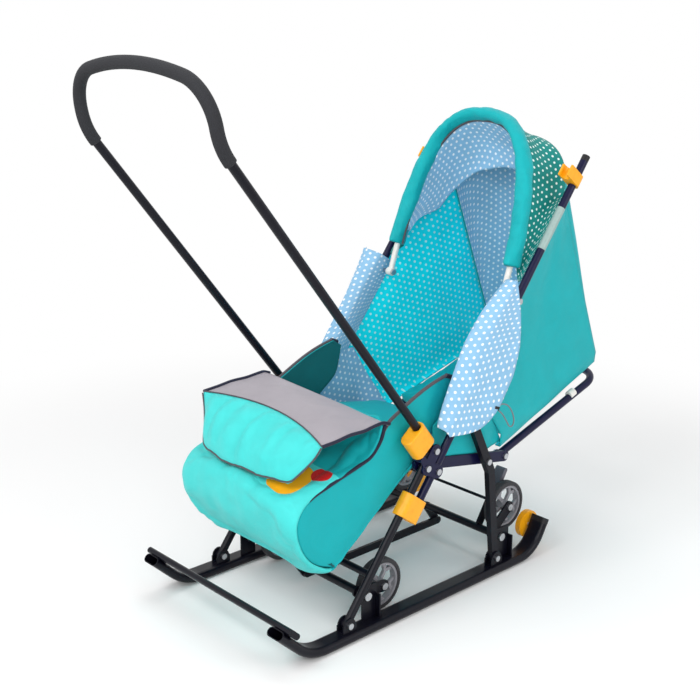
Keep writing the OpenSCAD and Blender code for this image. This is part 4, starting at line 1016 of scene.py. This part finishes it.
def visorPoint(u, v):
    a = 2 * u - 1
    crest, back, front = muffPoint(visor["crest"]), muffPoint(visor["back"]), muffPoint(visor["front"])
    arched = 1 - a * a
    seam = Vector((front[0] + visor["bulge"] * arched, front[1] + visor["rise"] * arched))
    if v < 0.5:
        w = v / 0.5
        z = mix(back[1], front[1], w) + visor["rise"] * arched * ease(w * 2)
        if w < 0.1:
            z = mix(crest[1], z, ease(w / 0.1))
        p = Vector((a * visor["half"], mix(crest[0], seam[0], w), z))
        p.z += wrinkle(p / 1000, 0.045, 3.0) * math.sin(math.pi * w)
    else:
        w = (v - 0.5) / 0.5
        hem = visorHem(a, front)
        fall = seam[1] - hem[1]
        over = Vector((mix(seam[0], hem[0], 0.62) - 0.04 * fall, seam[1] + 0.03 * fall))
        down = Vector((hem[0] - 0.1 * fall, hem[1] + 0.55 * fall))
        q = seam * (1 - w) ** 3 + over * 3 * w * (1 - w) ** 2 + down * 3 * w * w * (1 - w) + hem * w ** 3
        p = Vector((a * visor["half"] * (1 - 0.02 * math.sin(math.pi * w)), q[0], q[1]))
        calm = clamp(fall / 70) * (1 - abs(a) ** 6)
        gather = math.sin(a * 23 + 2.4 * noise.noise(Vector((a * 4, 0.3, 0)))) * (1 - 0.8 * w) * ease(w * 6)
        p += Vector((0, -0.6, 0.7)) * 4.5 * gather * calm
        crease = wrinkle(p / 1000, 0.03, 4.0, 2.0)
        p += Vector((0, -0.8, 0.4)) * crease * calm * math.sin(math.pi * clamp(w, 0.05, 0.95))
    p.z -= visor["tilt"] * a
    return p / 1000


visorCols, visorRows = 64, 60
cover = layCloth("muffVisor", visorCols, visorRows, visorPoint)
paintWith(cover, greyCloth, turquoiseCloth)
for f in cover.data.polygons:
    f.material_index = 0 if f.index // visorCols < visorRows // 2 else 1
thicken(cover, visor["thick"], 1, even=False, lined=False)
smooth(cover)
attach(cover, "sled")
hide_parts("muff_visor")
for name, u in (("near", 1), ("far", 0)):
    line = [visorPoint(u, 0.5 * k / 20) + mm(0, 0, 1) for k in range(21)]
    edge = pipe("visorEdge_" + name, line, visor["zip"], zipTape)
    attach(edge, "sled")
for name, v, radius in (("seam", 0.505, 0.0013), ("hem", 0.998, 0.0017)):
    line = [visorPoint(k / 50, v) + mm(0, -0.8, 1.6) for k in range(51)]
    edge = pipe("visorPiping_" + name, line, radius, greyBinding)
    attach(edge, "sled")
print("visor")


# trims

zips = {"start": 0.6, "end": 0.99, "radius": 0.0036, "out": 4.5}
edging = {"from": 11, "binding": 0.0034, "tab": 0.0048, "tabX": 163}
for side, name in ((1, "left"), (-1, "right")):
    line = []
    for k in range(41):
        p = apronPoint((side + 1) / 2, mix(zips["start"], zips["end"], k / 40)) * 1000
        away = (Vector((p.y, p.z)) - muffMiddle).normalized() * zips["out"]
        line.append(mm(p.x, p.y + away[0], p.z + away[1]))
    zipper = pipe("muffZip_" + name, line, zips["radius"], zipTape)
    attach(zipper, "sled")
    top = [muffPoint(p) for p in wallTop[edging["from"]:]]
    line = [mm(side * (muff["half"] - muff["inset"]), *along(top, k / 30)) for k in range(31)]
    binding = pipe("wallBinding_" + name, line, edging["binding"], greyBinding)
    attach(binding, "sled")
    line = [mm(side * edging["tabX"], 34 + 4 * k, 437 - 1.6 * k) for k in range(5)]
    tab = pipe("wallTab_" + name, line, edging["tab"], zipTape)
    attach(tab, "sled")

tape = {"from": 800, "to": 893, "radius": 0.0083}
line = [legPoint(mix(tape["from"], tape["to"], k / 6), legLine["post"]) for k in range(7)]
wrap = pipe("postTape", [mm(legLine["x"], *p) for p in line], tape["radius"], clearTape, sides=6)
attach(wrap, "sled")

tie = {"x": 162, "radius": 0.0089}
line = [mm(tie["x"], 416 + 4 * k, 309.9 + 1.34 * k) for k in range(5)]
band = pipe("loopTie", line, tie["radius"], whitePlastic, sides=6)
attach(band, "backrest")

button = {"x": 212.5, "path": [(116, 368), (120, 366.4), (124, 364.8), (128, 363.2)], "radius": 0.0044}
toggle = pipe("toggle", [mm(button["x"], *p) for p in button["path"]], button["radius"], blackPlastic, sides=4)
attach(toggle, "sled")
pushUp(toggle)

elastic = {"x": 211.5, "diameter": 2.6,
           "path": [(128, 363.2), (139, 368), (157, 362), (171, 346), (178, 328), (175, 316), (165, 317),
                    (155, 331), (143, 347), (131, 357)]}
route = flatList(elastic["path"])
line = [mm(elastic["x"], *along(route, k / 36)) for k in range(37)]
cord = pipe("toggleElastic", line, elastic["diameter"] / 2000, greyWebbing)
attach(cord, "sled")
pushUp(cord)
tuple(line[0])
sum((b - a).length for a, b in zip(line, line[1:]))
print("trims")

size = {"cad": [list(c) for c in cadBox], "visual": [list(c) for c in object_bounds()]}
